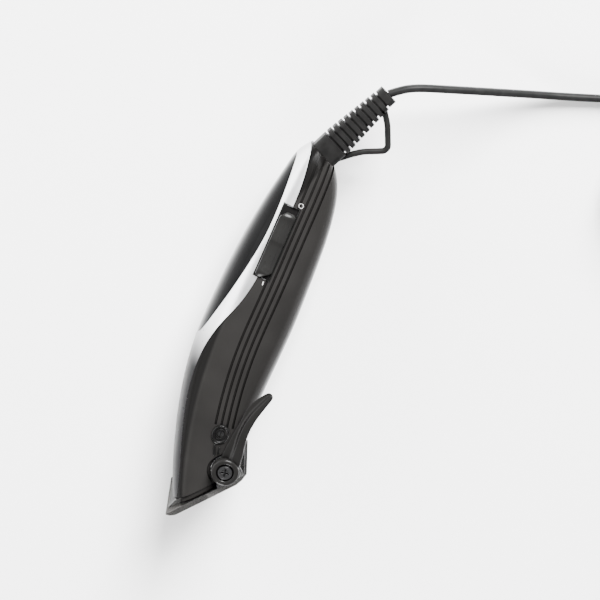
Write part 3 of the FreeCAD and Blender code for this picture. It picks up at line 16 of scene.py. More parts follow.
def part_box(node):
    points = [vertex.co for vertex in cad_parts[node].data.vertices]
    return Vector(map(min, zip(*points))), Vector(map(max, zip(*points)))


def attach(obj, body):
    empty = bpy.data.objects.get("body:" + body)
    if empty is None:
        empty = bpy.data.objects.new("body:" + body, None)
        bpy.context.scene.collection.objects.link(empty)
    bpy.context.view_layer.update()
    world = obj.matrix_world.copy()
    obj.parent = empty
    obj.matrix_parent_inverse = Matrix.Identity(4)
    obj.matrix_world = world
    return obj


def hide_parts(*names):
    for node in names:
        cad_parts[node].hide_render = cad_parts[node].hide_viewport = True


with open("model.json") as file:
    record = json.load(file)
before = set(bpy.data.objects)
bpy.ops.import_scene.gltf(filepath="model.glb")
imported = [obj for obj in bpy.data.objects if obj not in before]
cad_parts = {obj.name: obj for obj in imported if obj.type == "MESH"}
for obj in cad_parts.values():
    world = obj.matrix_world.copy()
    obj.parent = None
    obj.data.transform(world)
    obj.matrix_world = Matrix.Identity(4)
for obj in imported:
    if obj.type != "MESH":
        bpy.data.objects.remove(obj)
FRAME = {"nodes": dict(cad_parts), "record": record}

MM = 0.001
log = logging.getLogger("clipper")

Pair = tuple[float, float]
Point = tuple[float, float, float]
Colour = tuple[float, float, float]
Piece = bpy.types.Object
Socket = bpy.types.NodeSocket


# ------------------------------------------------------------------ finishes


class ShaderSheet:
    """One material's node tree, with short ways to add and wire nodes."""

    # Nearly all of a noise texture's values lie between these two.
    NOISE_SPAN = (0.3, 0.7)
    # The colour sockets of a mix node, which share their names with its other sockets.
    MIX_FIRST, MIX_SECOND, MIX_RESULT = 6, 7, 2

    def __init__(self, name: str) -> None:
        """Start an empty material that ends in one Principled shader.

        Args:
            name: The material's name.
        """
        self.material = bpy.data.materials.new(name)
        self.material.use_nodes = True
        self.tree = self.material.node_tree
        self.tree.nodes.clear()
        self.shader = self.tree.nodes.new("ShaderNodeBsdfPrincipled")
        output = self.tree.nodes.new("ShaderNodeOutputMaterial")
        self.tree.links.new(self.shader.outputs["BSDF"], output.inputs["Surface"])

    def add(self, kind: str, inputs: dict[str | int, Any] | None = None, **settings: Any) -> bpy.types.Node:
        """Add a node.

        Args:
            kind: The node's type.
            inputs: Values or output sockets for its inputs, by name or number.
            **settings: Values for the node's own properties.

        Returns:
            The new node.
        """
        node = self.tree.nodes.new(kind)
        for key, value in settings.items():
            setattr(node, key, value)
        for key, value in (inputs or {}).items():
            self.feed(node.inputs[key], value)
        return node

    def feed(self, socket: Socket, value: Any) -> None:
        """Link an output into a socket, or set the socket's own value.

        Args:
            socket: The input socket.
            value: An output socket or a constant.
        """
        if isinstance(value, Socket):
            self.tree.links.new(value, socket)
        else:
            socket.default_value = value

    def place(self, stretch: Point = (1.0, 1.0, 1.0), turn: Point = (0.0, 0.0, 0.0)) -> Socket:
        """The object's own coordinates, stretched and turned.

        Args:
            stretch: Scale along each axis.
            turn: Euler angles in radians.

        Returns:
            The mapped vector.
        """
        coords = self.add("ShaderNodeTexCoord")
        mapped = self.add("ShaderNodeMapping", {
            "Vector": coords.outputs["Object"], "Rotation": turn, "Scale": stretch,
        })
        return mapped.outputs["Vector"]

    def noise(self, vector: Socket, scale: float, detail: float = 3.0) -> Socket:
        """A noise texture's value.

        Args:
            vector: Where the texture is read.
            scale: Cells per metre.
            detail: Number of octaves.

        Returns:
            The noise factor.
        """
        texture = self.add("ShaderNodeTexNoise", {"Vector": vector, "Scale": scale, "Detail": detail})
        return texture.outputs["Fac"]

    def bands(self, direction: str, scale: float, distortion: float, **inputs: float) -> Socket:
        """A wave texture of straight bands.

        Args:
            direction: The axis that the bands follow one another along.
            scale: How close the bands stand.
            distortion: How far they waver.
            **inputs: Values for the texture's other inputs, in lower case with underscores.

        Returns:
            The wave's factor.
        """
        named = {key.replace("_", " ").title(): value for key, value in inputs.items()}
        wave = self.add(
            "ShaderNodeTexWave", {"Vector": self.place(), "Scale": scale, "Distortion": distortion, **named},
            wave_type="BANDS", bands_direction=direction,
        )
        return wave.outputs["Fac"]

    def map_range(
        self, value: Socket, source: Pair, target: Pair = (0.0, 1.0), smooth: bool = False
    ) -> Socket:
        """Map one range onto another.

        Args:
            value: The value in the source range.
            source: Where it comes from.
            target: Where it goes to.
            smooth: Whether it eases in and out at the ends.

        Returns:
            The mapped value.
        """
        ranged = self.add("ShaderNodeMapRange", {
            "Value": value, "From Min": source[0], "From Max": source[1],
            "To Min": target[0], "To Max": target[1],
        }, interpolation_type="SMOOTHSTEP" if smooth else "LINEAR")
        return ranged.outputs["Result"]

    def spread(self, value: Socket, low: float, high: float) -> Socket:
        """Stretch a noise's value over a range."""
        return self.map_range(value, self.NOISE_SPAN, (low, high))

    def mix(self, factor: Any, first: Any, second: Any, blend: str = "MIX") -> Socket:
        """Blend two colours.

        Args:
            factor: How much of the second, as a socket or a number.
            first: Colour or colour socket at 0.
            second: Colour or colour socket at 1.
            blend: The way of blending.

        Returns:
            The blended colour.
        """
        node = self.add("ShaderNodeMix", {"Factor": factor}, data_type="RGBA", blend_type=blend)
        for number, colour in ((self.MIX_FIRST, first), (self.MIX_SECOND, second)):
            self.feed(node.inputs[number], colour if isinstance(colour, Socket) else (*colour, 1.0))
        return node.outputs[self.MIX_RESULT]

    def tint(self, colour: Socket) -> None:
        """Feed the shader's base colour."""
        self.feed(self.shader.inputs["Base Color"], colour)

    def dull(self, value: Socket, low: float, high: float) -> None:
        """Let a noise drive the shader's roughness over a range."""
        self.feed(self.shader.inputs["Roughness"], self.spread(value, low, high))

    def relief(self, height: Socket, depth: float, strength: float = 1.0, edge: float = 0.0) -> None:
        """Give the shader a bump, on top of softened edges.

        Args:
            height: Height factor from 0 to 1.
            depth: Height of 1 in metres.
            strength: Share of the bump that shows.
            edge: Radius of softened edges in metres, 0 for none.
        """
        bump = self.add("ShaderNodeBump", {"Height": height, "Distance": depth, "Strength": strength})
        if edge > 0.0:
            soft = self.add("ShaderNodeBevel", {"Radius": edge}, samples=4)
            self.feed(bump.inputs["Normal"], soft.outputs["Normal"])
        self.feed(self.shader.inputs["Normal"], bump.outputs["Normal"])

    def constants(self, **values: float | Sequence[float]) -> None:
        """Set the shader's own sockets.

        Args:
            **values: Socket names in lower case with underscores, and values.
        """
        names = {socket.name.lower().replace(" ", "_"): socket for socket in self.shader.inputs}
        for key, value in values.items():
            names[key].default_value = value


def shade(tone: Colour, gain: float, lift: float = 0.0) -> Colour:
    """A tone made lighter or darker, and white at most."""
    return tuple(min(1.0, channel * gain + lift) for channel in tone)


@dataclass(frozen=True)
class Coating:
    """What every finish has: a name, a tone, and nodes that its own class lays."""

    name: str
    tone: Colour

    def lay(self, sheet: ShaderSheet) -> None:
        """Wire the finish's nodes.

        Args:
            sheet: The empty material.
        """
        raise NotImplementedError

    def make(self) -> bpy.types.Material:
        """Build the material.

        Returns:
            The material, ready for a slot.
        """
        sheet = ShaderSheet(self.name)
        self.lay(sheet)
        return sheet.material


@dataclass(frozen=True)
class MouldedPlastic(Coating):
    """Injection-moulded plastic with a spark-eroded grain and faint handling marks, and, where asked,
    painted shade in creases and in front of a line.
    """

    roughness: float = 0.42
    grain: float = 0.35 * MM
    grain_depth: float = 0.02 * MM
    edge: float = 0.15 * MM
    shine: float = 0.5
    cloud_scale: float = 45.0
    cloud_gain: float = 1.3
    cloud_lift: float = 0.0004
    smudge_scale: float = 130.0
    smudge_spread: float = 0.035
    # Painted shade in grooves and recesses: how near a facing wall has to be, over which range of openness,
    # how dark it gets.
    crease_shade_reach: float = 0.0
    crease_shade_span: Pair = (0.5, 0.97)
    crease_shade_gain: float = 0.2
    # A parabola y = start + bend * (x - centre)^2 along which the flank turns to the front,
    # how wide the painted shade's soft edge is, and how dark the painted shade on the front side is.
    flow: tuple[float, float, float] | None = None
    front_shade_edge: Pair = (-0.9 * MM, 0.7 * MM)
    front_shade_gain: float = 0.38

    def paint_front_shade(self, sheet: ShaderSheet, place: Socket, colour: Socket) -> Socket:
        """Paint shade on the front side of the flow line, where the flank turns to the front.

        Args:
            sheet: The material sheet.
            place: Object coordinates.
            colour: The tone so far.

        Returns:
            The colour socket.
        """
        start, bend, centre = self.flow
        split = sheet.add("ShaderNodeSeparateXYZ", {"Vector": place}).outputs
        along = sheet.add("ShaderNodeMath", {0: split["X"], 1: centre}, operation="SUBTRACT").outputs[0]
        square = sheet.add("ShaderNodeMath", {0: along, 1: along}, operation="MULTIPLY").outputs[0]
        line = sheet.add("ShaderNodeMath", {0: square, 1: bend, 2: start}, operation="MULTIPLY_ADD")
        offset = sheet.add("ShaderNodeMath", {0: split["Y"], 1: line.outputs[0]}, operation="SUBTRACT")
        # Painted shade: the tone darkens on the front side of the line.
        share = sheet.map_range(offset.outputs[0], self.front_shade_edge, smooth=True)
        return sheet.mix(share, shade(self.tone, self.front_shade_gain), colour)

    def paint_crease_shade(self, sheet: ShaderSheet, colour: Socket) -> Socket:
        """Paint shade into grooves and recesses, where nearby walls close a point in.

        Args:
            sheet: The material sheet.
            colour: The tone so far.

        Returns:
            The colour socket.
        """
        # Painted shade: the tone darkens where the ambient occlusion finds nearby walls.
        open_air = sheet.add("ShaderNodeAmbientOcclusion", {"Distance": self.crease_shade_reach}, samples=8)
        reach = sheet.map_range(open_air.outputs["AO"], self.crease_shade_span)
        return sheet.mix(reach, shade(self.tone, self.crease_shade_gain), colour)

    def lay(self, sheet: ShaderSheet) -> None:
        """Wire the finish's nodes.

        Args:
            sheet: The empty material.
        """
        place = sheet.place()
        cloud = sheet.spread(sheet.noise(place, self.cloud_scale, 2.0), 0.0, 1.0)
        colour = sheet.mix(cloud, self.tone, shade(self.tone, self.cloud_gain, self.cloud_lift))
        # Painted shade in front of the flow line, where the finish asks for it.
        if self.flow:
            colour = self.paint_front_shade(sheet, place, colour)
        # Painted shade in grooves and recesses, where the finish asks for it.
        if self.crease_shade_reach > 0.0:
            colour = self.paint_crease_shade(sheet, colour)
        sheet.tint(colour)
        smudge = sheet.noise(place, self.smudge_scale, 4.0)
        sheet.dull(smudge, self.roughness - self.smudge_spread, self.roughness + self.smudge_spread)
        sheet.constants(ior=1.5, specular_ior_level=self.shine)
        sheet.relief(sheet.noise(place, 1.0 / self.grain, 2.0), self.grain_depth, 0.5, self.edge)


@dataclass(frozen=True)
class PolishedPlastic(Coating):
    """High-gloss moulded plastic with a clear coat and soft flow waves."""

    roughness: float = 0.1
    edge: float = 0.12 * MM
    shine: float = 0.5
    cloud_scale: float = 60.0
    cloud_gain: float = 1.3
    cloud_lift: float = 0.0003
    wipe_scale: float = 220.0
    wipe_stretch: Point = (1.0, 3.0, 1.0)
    wipe_spread: float = 0.05
    wave_scale: float = 90.0
    wave_depth: float = 0.01 * MM

    def lay(self, sheet: ShaderSheet) -> None:
        """Wire the finish's nodes.

        Args:
            sheet: The empty material.
        """
        place = sheet.place()
        cloud = sheet.spread(sheet.noise(place, self.cloud_scale, 2.0), 0.0, 1.0)
        sheet.tint(sheet.mix(cloud, self.tone, shade(self.tone, self.cloud_gain, self.cloud_lift)))
        wipe = sheet.noise(sheet.place(self.wipe_stretch), self.wipe_scale, 4.0)
        sheet.dull(wipe, self.roughness, self.roughness + self.wipe_spread)
        sheet.constants(ior=1.5, specular_ior_level=self.shine, coat_weight=0.006, coat_roughness=0.04)
        sheet.relief(sheet.noise(place, self.wave_scale, 1.0), self.wave_depth, 0.4, self.edge)


@dataclass(frozen=True)
class SilverLacquer(Coating):
    """Silver lacquer with fine flakes, with painted shade that darkens it to black towards the blade,
    standing in for a dark reflection there.
    """

    tone: Colour = (0.8, 0.8, 0.81)
    nose_shade: Colour = (0.012, 0.012, 0.0124)
    # Where along the casing the painted shade starts to darken the lacquer, and where it is all dark.
    nose_shade_span: Pair = (0.008, 0.038)
    metal: float = 0.85
    roughness: float = 0.3
    haze_scale: float = 150.0
    haze_spread: Pair = (-0.03, 0.04)
    flake_scale: float = 9000.0
    flake_share: float = 0.12
    flake_depth: float = 0.004 * MM
    edge: float = 0.12 * MM

    def lay(self, sheet: ShaderSheet) -> None:
        """Wire the finish's nodes.

        Args:
            sheet: The empty material.
        """
        place = sheet.place()
        flake = sheet.add("ShaderNodeTexVoronoi", {"Vector": place, "Scale": self.flake_scale})
        # Painted shade: tone and metalness fall towards the blade, standing in for a dark reflection there.
        along = sheet.add("ShaderNodeSeparateXYZ", {"Vector": place})
        share = sheet.map_range(along.outputs["X"], self.nose_shade_span, smooth=True)
        shaded_tone = sheet.mix(share, self.tone, self.nose_shade)
        sheet.tint(sheet.mix(self.flake_share, shaded_tone, flake.outputs["Color"], "MULTIPLY"))
        haze = sheet.noise(place, self.haze_scale, 4.0)
        sheet.dull(haze, *(self.roughness + change for change in self.haze_spread))
        metal = sheet.map_range(share, (0.0, 1.0), (self.metal, 0.0))
        sheet.feed(sheet.shader.inputs["Metallic"], metal)
        sheet.constants(
            ior=1.5, specular_ior_level=0.02, specular_tint=(0.6, 0.6, 0.6, 1.0),
            coat_weight=0.0, coat_roughness=0.08,
        )
        sheet.relief(flake.outputs["Distance"], self.flake_depth, 0.3, self.edge)


@dataclass(frozen=True)
class GroundSteel(Coating):
    """Metal ground in one direction, with fine scratches and rubbed edges."""

    roughness: float = 0.28
    turn: float = 0.0
    lines_across: bool = True
    edge: float = 0.08 * MM
    fine: float = 4200.0
    long_across: float = 90.0
    long_along: float = 120.0
    stain_scale: float = 160.0
    stain_gain: float = 0.72
    line_spread: Pair = (-0.08, 0.12)
    line_depth: float = 0.006 * MM

    def lay(self, sheet: ShaderSheet) -> None:
        """Wire the finish's nodes.

        Args:
            sheet: The empty material.
        """
        across, along = (self.fine, self.fine, self.long_across), (self.long_along, self.fine, self.fine)
        lines_at = sheet.place(across if self.lines_across else along, (0.0, 0.0, self.turn))
        lines = sheet.noise(lines_at, 1.0, 3.0)
        stain = sheet.spread(sheet.noise(sheet.place(), self.stain_scale, 4.0), 0.0, 0.6)
        sheet.tint(sheet.mix(stain, self.tone, shade(self.tone, self.stain_gain)))
        sheet.dull(lines, *(self.roughness + change for change in self.line_spread))
        sheet.constants(metallic=1.0, anisotropic=0.45, specular_tint=(0.3, 0.3, 0.3, 1.0))
        sheet.relief(lines, self.line_depth, 0.5, self.edge)


@dataclass(frozen=True)
class SoftRubber(Coating):
    """Soft PVC or rubber: dull, faintly dusty, with a slight sheen."""

    roughness: float = 0.5
    grain: float = 0.5 * MM
    grain_depth: float = 0.02 * MM
    edge: float = 0.15 * MM
    dust_scale: float = 240.0
    dust_gain: float = 1.5
    dust_lift: float = 0.001
    rub_scale: float = 90.0
    rub_spread: float = 0.06

    def lay(self, sheet: ShaderSheet) -> None:
        """Wire the finish's nodes.

        Args:
            sheet: The empty material.
        """
        place = sheet.place()
        dust = sheet.spread(sheet.noise(place, self.dust_scale, 5.0), 0.0, 1.0)
        sheet.tint(sheet.mix(dust, self.tone, shade(self.tone, self.dust_gain, self.dust_lift)))
        rub = sheet.noise(place, self.rub_scale, 3.0)
        sheet.dull(rub, self.roughness - self.rub_spread, self.roughness + self.rub_spread)
        sheet.constants(ior=1.5, specular_ior_level=0.04, sheen_weight=0.01, sheen_roughness=0.5)
        sheet.relief(sheet.noise(place, 1.0 / self.grain, 2.0), self.grain_depth, 0.4, self.edge)


@dataclass(frozen=True)
class WovenStrap(Coating):
    """Woven strap of the cord tie, with slanting ribs."""

    tone: Colour = (0.008, 0.008, 0.0086)
    rib_scale: float = 340.0
    rib_gain: float = 2.4
    rib_depth: float = 0.12 * MM
    fuzz_scale: float = 2600.0

    def lay(self, sheet: ShaderSheet) -> None:
        """Wire the finish's nodes.

        Args:
            sheet: The empty material.
        """
        rib = sheet.bands("DIAGONAL", self.rib_scale, 0.6, detail=2.0, detail_scale=3.0)
        sheet.tint(sheet.mix(rib, self.tone, shade(self.tone, self.rib_gain)))
        sheet.dull(sheet.noise(sheet.place(), self.fuzz_scale, 2.0), 0.75, 0.95)
        sheet.constants(specular_ior_level=0.1, sheen_weight=0.03, sheen_roughness=0.6)
        sheet.relief(rib, self.rib_depth, 0.8)


@dataclass(frozen=True)
class EnamelledWire(Coating):
    """Copper wire wound in even layers, with painted shade in the gaps between turns."""

    tone: Colour = (0.45, 0.16, 0.06)
    turn_scale: float = 900.0
    gap_shade_gain: float = 0.45
    turn_depth: float = 0.1 * MM
    haze_scale: float = 300.0

    def lay(self, sheet: ShaderSheet) -> None:
        """Wire the finish's nodes.

        Args:
            sheet: The empty material.
        """
        turns = sheet.bands("Z", self.turn_scale, 0.4, detail=1.0)
        # Painted shade: the gaps between turns are darker.
        sheet.tint(sheet.mix(turns, shade(self.tone, self.gap_shade_gain), self.tone))
        sheet.dull(sheet.noise(sheet.place(), self.haze_scale, 3.0), 0.2, 0.4)
        sheet.constants(metallic=0.8, coat_weight=0.4, coat_roughness=0.1)
        sheet.relief(turns, self.turn_depth, 0.8)


@dataclass(frozen=True)
class LaminatedSteel(Coating):
    """A stack of thin core sheets with dark varnish between them."""

    tone: Colour = (0.28, 0.27, 0.26)
    layer_scale: float = 600.0
    varnish_gain: float = 0.3
    layer_depth: float = 0.06 * MM
    rust_scale: float = 500.0

    def lay(self, sheet: ShaderSheet) -> None:
        """Wire the finish's nodes.

        Args:
            sheet: The empty material.
        """
        layers = sheet.bands("Y", self.layer_scale, 0.2)
        sheet.tint(sheet.mix(layers, shade(self.tone, self.varnish_gain), self.tone))
        sheet.dull(sheet.noise(sheet.place(), self.rust_scale, 4.0), 0.4, 0.65)
        sheet.constants(metallic=0.9)
        sheet.relief(layers, self.layer_depth, 0.7)


@dataclass(frozen=True)
class PrintedInk(Coating):
    """Pale ink of the plain on and off marks."""

    tone: Colour = (0.5, 0.5, 0.49)
    speck_scale: float = 3000.0
    worn_gain: float = 0.8
    speck_depth: float = 0.01 * MM

    def lay(self, sheet: ShaderSheet) -> None:
        """Wire the finish's nodes.

        Args:
            sheet: The empty material.
        """
        speck = sheet.noise(sheet.place(), self.speck_scale, 3.0)
        sheet.tint(sheet.mix(sheet.spread(speck, 0.0, 0.7), self.tone, shade(self.tone, self.worn_gain)))
        sheet.dull(speck, 0.5, 0.7)
        sheet.relief(speck, self.speck_depth, 0.3)


@dataclass(frozen=True)
class StudioPaper(Coating):
    """Matt pale paper under the object."""

    tone: Colour = (0.9, 0.9, 0.9)
    fibre_scale: float = 800.0
    fibre_gain: float = 0.99

    def lay(self, sheet: ShaderSheet) -> None:
        """Wire the finish's nodes.

        Args:
            sheet: The empty material.
        """
        fibre = sheet.spread(sheet.noise(sheet.place(), self.fibre_scale, 4.0), 0.0, 1.0)
        sheet.tint(sheet.mix(fibre, self.tone, shade(self.tone, self.fibre_gain)))
        sheet.constants(roughness=0.9, specular_ior_level=0.2)


# The blade stands at this angle to the casing's long axis, and its grinding lines follow it.
BLADE_TURN = math.radians(180.0 - 43.4)


class Finish(Enum):
    """Every finish on the clipper."""

    # Painted shade: the housing darkens in its grooves and in front of the flow line.
    HOUSING = MouldedPlastic(
        "housing_satin", (0.0093, 0.0089, 0.0086), 0.2, grain_depth=0.008 * MM, shine=0.018,
        crease_shade_reach=1.6 * MM, flow=(-18.54 * MM, 2.2, 29.7 * MM),
    )
    SILVER = SilverLacquer("frame_silver")
    INLAY = PolishedPlastic("inlay_gloss", (0.0034, 0.0034, 0.0035), 0.1, shine=0.014)
    # Painted shade: the lever darkens in its creases.
    LEVER = MouldedPlastic(
        "lever_satin", (0.0062, 0.006, 0.0058), 0.24, grain_depth=0.006 * MM, shine=0.07, crease_shade_reach=2.2 * MM,
    )
    SWITCH = PolishedPlastic("switch_gloss", (0.006, 0.0059, 0.0057), 0.26, shine=0.1)
    TRIM = PolishedPlastic("trim_black", (0.0028, 0.0027, 0.0027), 0.26, shine=0.1)
    CASE = MouldedPlastic("switch_case", (0.06, 0.06, 0.065), 0.5)
    ADJUSTER = MouldedPlastic("adjuster_black", (0.004, 0.004, 0.004), 0.35)
    # Painted shade: the screw head darkens in its cross recess.
    BLACK_STEEL = MouldedPlastic(
        "screw_black_oxide", (0.0095, 0.0095, 0.0097), 0.26, grain_depth=0.004 * MM, shine=0.2,
        crease_shade_reach=1.3 * MM,
    )
    ZINC = GroundSteel("screw_zinc", (0.36, 0.36, 0.365), 0.3)
    BLADE = GroundSteel("blade_ground", (0.2, 0.196, 0.19), 0.3, turn=-BLADE_TURN)
    CUTTER = GroundSteel("cutter_ground", (0.32, 0.32, 0.315), 0.3, turn=-BLADE_TURN)
    CARRIER = GroundSteel("carrier_stamped", (0.3, 0.3, 0.3), 0.24, lines_across=False)
    SPRING = GroundSteel("spring_steel", (0.42, 0.41, 0.4), 0.25)
    ALUMINIUM = GroundSteel("arm_aluminium", (0.75, 0.75, 0.76), 0.32, lines_across=False)
    CORE = LaminatedSteel("core_laminations")
    NYLON = MouldedPlastic("follower_nylon", (0.62, 0.6, 0.54), 0.5)
    COPPER = EnamelledWire("winding_copper")
    GUARD = SoftRubber("guard_rubber", (0.0052, 0.0051, 0.005), 0.46)
    SHEATH = SoftRubber("cord_sheath", (0.006, 0.006, 0.006), 0.4, grain=1.2 * MM)
    STRAP = WovenStrap("tie_strap")
    # Painted shade: the plug darkens in its creases.
    PLUG = MouldedPlastic(
        "plug_vinyl", (0.009, 0.009, 0.0092), 0.42, grain=0.6 * MM, shine=0.1, crease_shade_reach=1.5 * MM,
    )
    PIN = GroundSteel("pin_nickel", (0.72, 0.69, 0.62), 0.2, lines_across=False)
    WIRE = MouldedPlastic("wire_insulation", (0.3, 0.06, 0.04), 0.4)
    INK = PrintedInk("mark_ink")
    PAPER = StudioPaper("studio_paper")


class PaintShelf:
    """Makes each finish's material once and hands it out."""

    def __init__(self) -> None:
        """Start with no materials made."""
        self.made: dict[Finish, bpy.types.Material] = {}

    def get(self, finish: Finish) -> bpy.types.Material:
        """The material of a finish, made at its first use.

        Args:
            finish: The finish.

        Returns:
            Its material.
        """
        if finish not in self.made:
            self.made[finish] = finish.value.make()
        return self.made[finish]

    def dress(self, target: Piece, finish: Finish) -> None:
        """Give an object one finish all over."""
        target.data.materials.clear()
        target.data.materials.append(self.get(finish))

    def dress_node(self, node: str, finish: Finish) -> None:
        """Give a CAD node one finish, through its object's own slots.

        Args:
            node: The node's name.
            finish: The finish it takes.
        """
        target = FRAME["nodes"][node]
        if not target.material_slots:
            target.data.materials.append(None)
        for slot in target.material_slots:
            slot.link = "OBJECT"
            slot.material = self.get(finish)
        log.info("%s: %s", node, finish.name.lower())


# ------------------------------------------------------------- mesh building


def smooth(piece: Piece, angle: float) -> None:
    """Shade a mesh smooth, but keep edges sharper than an angle.

    Args:
        piece: The mesh object.
        angle: The angle in degrees.
    """
    mesh = piece.data
    for face in mesh.polygons:
        face.use_smooth = True
    mesh.set_sharp_from_angle(angle=math.radians(angle))


def settle(piece: Piece) -> None:
    """Apply every modifier of a piece to its mesh.

    Args:
        piece: The object.
    """
    graph = bpy.context.evaluated_depsgraph_get()
    graph.update()
    mesh = bpy.data.meshes.new_from_object(piece.evaluated_get(graph), depsgraph=graph)
    piece.modifiers.clear()
    piece.data = mesh


def new_piece(name: str, build: bmesh.types.BMesh) -> Piece:
    """Turn a bmesh into a linked object.

    Args:
        name: The piece's name.
        build: The bmesh, which is freed.

    Returns:
        The new object.
    """
    bmesh.ops.recalc_face_normals(build, faces=build.faces)
    mesh = bpy.data.meshes.new(name)
    build.to_mesh(mesh)
    build.free()
    piece = bpy.data.objects.new(name, mesh)
    bpy.context.scene.collection.objects.link(piece)
    return piece


def around(steps: int) -> list[float]:
    """Evenly spaced angles round a full turn."""
    return [2.0 * math.pi * step / steps for step in range(steps)]


def spoke(angle: float) -> Vector:
    """The flat unit vector at an angle."""
    return Vector((math.cos(angle), math.sin(angle), 0.0))


def squared(angle: float, power: float) -> Pair:
    """A point of the unit circle pressed out towards a square.

    Args:
        angle: Where on the circle.
        power: 1 for the circle, and less for squarer corners.

    Returns:
        The two coordinates.
    """
    cosine, sine = math.cos(angle), math.sin(angle)
    return math.copysign(abs(cosine) ** power, cosine), math.copysign(abs(sine) ** power, sine)


def weave(build: bmesh.types.BMesh, rows: Sequence[Sequence[Any]], looped: bool = True) -> None:
    """Fill in the faces between neighbouring rows of corners, each row closed on itself.

    Args:
        build: Where the faces go.
        rows: Rows with the same number of corners each.
        looped: Whether the last row meets the first.
    """
    following = [*rows[1:], rows[0]] if looped else rows[1:]
    for low, high in zip(rows, following):
        for i in range(len(low)):
            j = (i + 1) % len(low)
            build.faces.new((low[i], low[j], high[j], high[i]))


def skin(build: bmesh.types.BMesh, rings: Sequence[Sequence[Vector]]) -> None:
    """Join rings of points into a closed skin, with a cap at each end.

    Args:
        build: Where the faces go.
        rings: Rings with the same number of points each.
    """
    rows = [[build.verts.new(point) for point in ring] for ring in rings]
    weave(build, rows, looped=False)
    build.faces.new(rows[0])
    build.faces.new(list(reversed(rows[-1])))


def turned(build: bmesh.types.BMesh, profile: Sequence[Pair], place: Matrix, steps: int = 48) -> None:
    """Spin a closed profile about the local Z axis.

    Args:
        build: Where the faces go.
        profile: Radius and height pairs in millimetres; the run closes on itself.
        place: Where the turned shape stands.
        steps: Number of steps round.
    """
    rows = []
    for angle in around(steps):
        rows.append([
            build.verts.new(place @ ((spoke(angle) * radius + Vector((0.0, 0.0, height))) * MM))
            for radius, height in profile
        ])
    weave(build, rows)


def prism(build: bmesh.types.BMesh, size: Pair, low: float, high: float, place: Matrix) -> None:
    """Add a straight block whose section is centred on the local Z axis.

    Args:
        build: Where the faces go.
        size: Length and width in millimetres.
        low: Local height of the underside in millimetres.
        high: Local height of the top in millimetres.
        place: The local frame.
    """
    half_x, half_y = size[0] / 2.0, size[1] / 2.0
    corners = ((-half_x, -half_y), (half_x, -half_y), (half_x, half_y), (-half_x, half_y))
    skin(build, [[place @ (Vector((x, y, z)) * MM) for x, y in corners] for z in (low, high)])


def joint_entry(name: str) -> dict[str, Any]:
    """A joint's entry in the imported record."""
    return next(entry for entry in FRAME["record"]["behaviour"]["joints"] if entry["name"] == name)


def joint_place(name: str) -> Vector:
    """A joint's place in the row frame."""
    return Vector(joint_entry(name)["pos_m"])


def middle(node: str) -> Vector:
    """The centre of a CAD node's box."""
    low, high = (Vector(corner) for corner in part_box(node))
    return (low + high) / 2.0


class Surface:
    """A CAD node's outside, to lay prints and trims on."""

    def __init__(self, *nodes: str) -> None:
        """Index the faces of one or more nodes.

        Args:
            *nodes: The nodes' names.
        """
        points: list[Vector] = []
        faces: list[tuple[int, ...]] = []
        for node in nodes:
            mesh = FRAME["nodes"][node].data
            start = len(points)
            points.extend(vertex.co.copy() for vertex in mesh.vertices)
            faces.extend(tuple(start + i for i in face.vertices) for face in mesh.polygons)
        self.tree = BVHTree.FromPolygons(points, faces)

    def above(self, x: float, y: float) -> tuple[Vector, Vector]:
        """The highest point over a place, and its normal.

        Args:
            x: Row frame x in metres.
            y: Row frame y in metres.

        Returns:
            The point and the upward normal.
        """
        point, normal, _, _ = self.tree.ray_cast(Vector((x, y, 0.2)), Vector((0, 0, -1)))
        if point is None:
            raise ValueError(f"nothing under {x:.4f}, {y:.4f}")
        return point, normal if normal.z > 0 else -normal


# -------------------------------------------------------------- the drawing


@dataclass(frozen=True)
class Drawing:
    """The part's drawing coordinates, whose middle plane is z = 0, and the row frame."""

    coil_centre: Point = (-0.1038, 0.1584, -0.0149)

    def shift(self) -> Vector:
        """How far the row frame's origin lies from the drawing's."""
        return middle("cord_coil") - Vector(self.coil_centre)

    def row(self, x: float, y: float, z: float) -> Vector:
        """A drawing point, given in metres, in the row frame."""
        return Vector((x, y, z)) + self.shift()


# ------------------------------------------------------------------- camera


@dataclass
class ViewingPoint:
    """The camera, above the flank that carries the controls."""

    aim: Point = (0.0034, 0.0122, 0.0)
    # Which way the camera stands from its aim, and which way is up in its picture.
    toward: Point = (-0.2292, -0.1002, 0.9682)
    up: Point = (-0.9147, -0.3180, -0.2494)
    distance: float = 0.76
    lens: float = 103.64
    sensor: float = 36.0

    def build(self, drawing: Drawing) -> None:
        """Make the camera and make it the scene's own.

        Args:
            drawing: Places the aim point.
        """
        back = Vector(self.toward).normalized()
        right = Vector(self.up).cross(back).normalized()
        up = back.cross(right)
        data = bpy.data.cameras.new("viewing_point")
        data.lens = self.lens
        data.sensor_width = self.sensor
        data.clip_start, data.clip_end = 0.01, 20.0
        camera = bpy.data.objects.new("viewing_point", data)
        bpy.context.scene.collection.objects.link(camera)
        turn = Matrix((right, up, back)).transposed()
        stand = drawing.row(*self.aim) + back * self.distance
        camera.matrix_world = Matrix.Translation(stand) @ turn.to_4x4()
        bpy.context.scene.camera = camera
        log.info("made %s", camera.name)


# --------------------------------------------------------------- mains lead


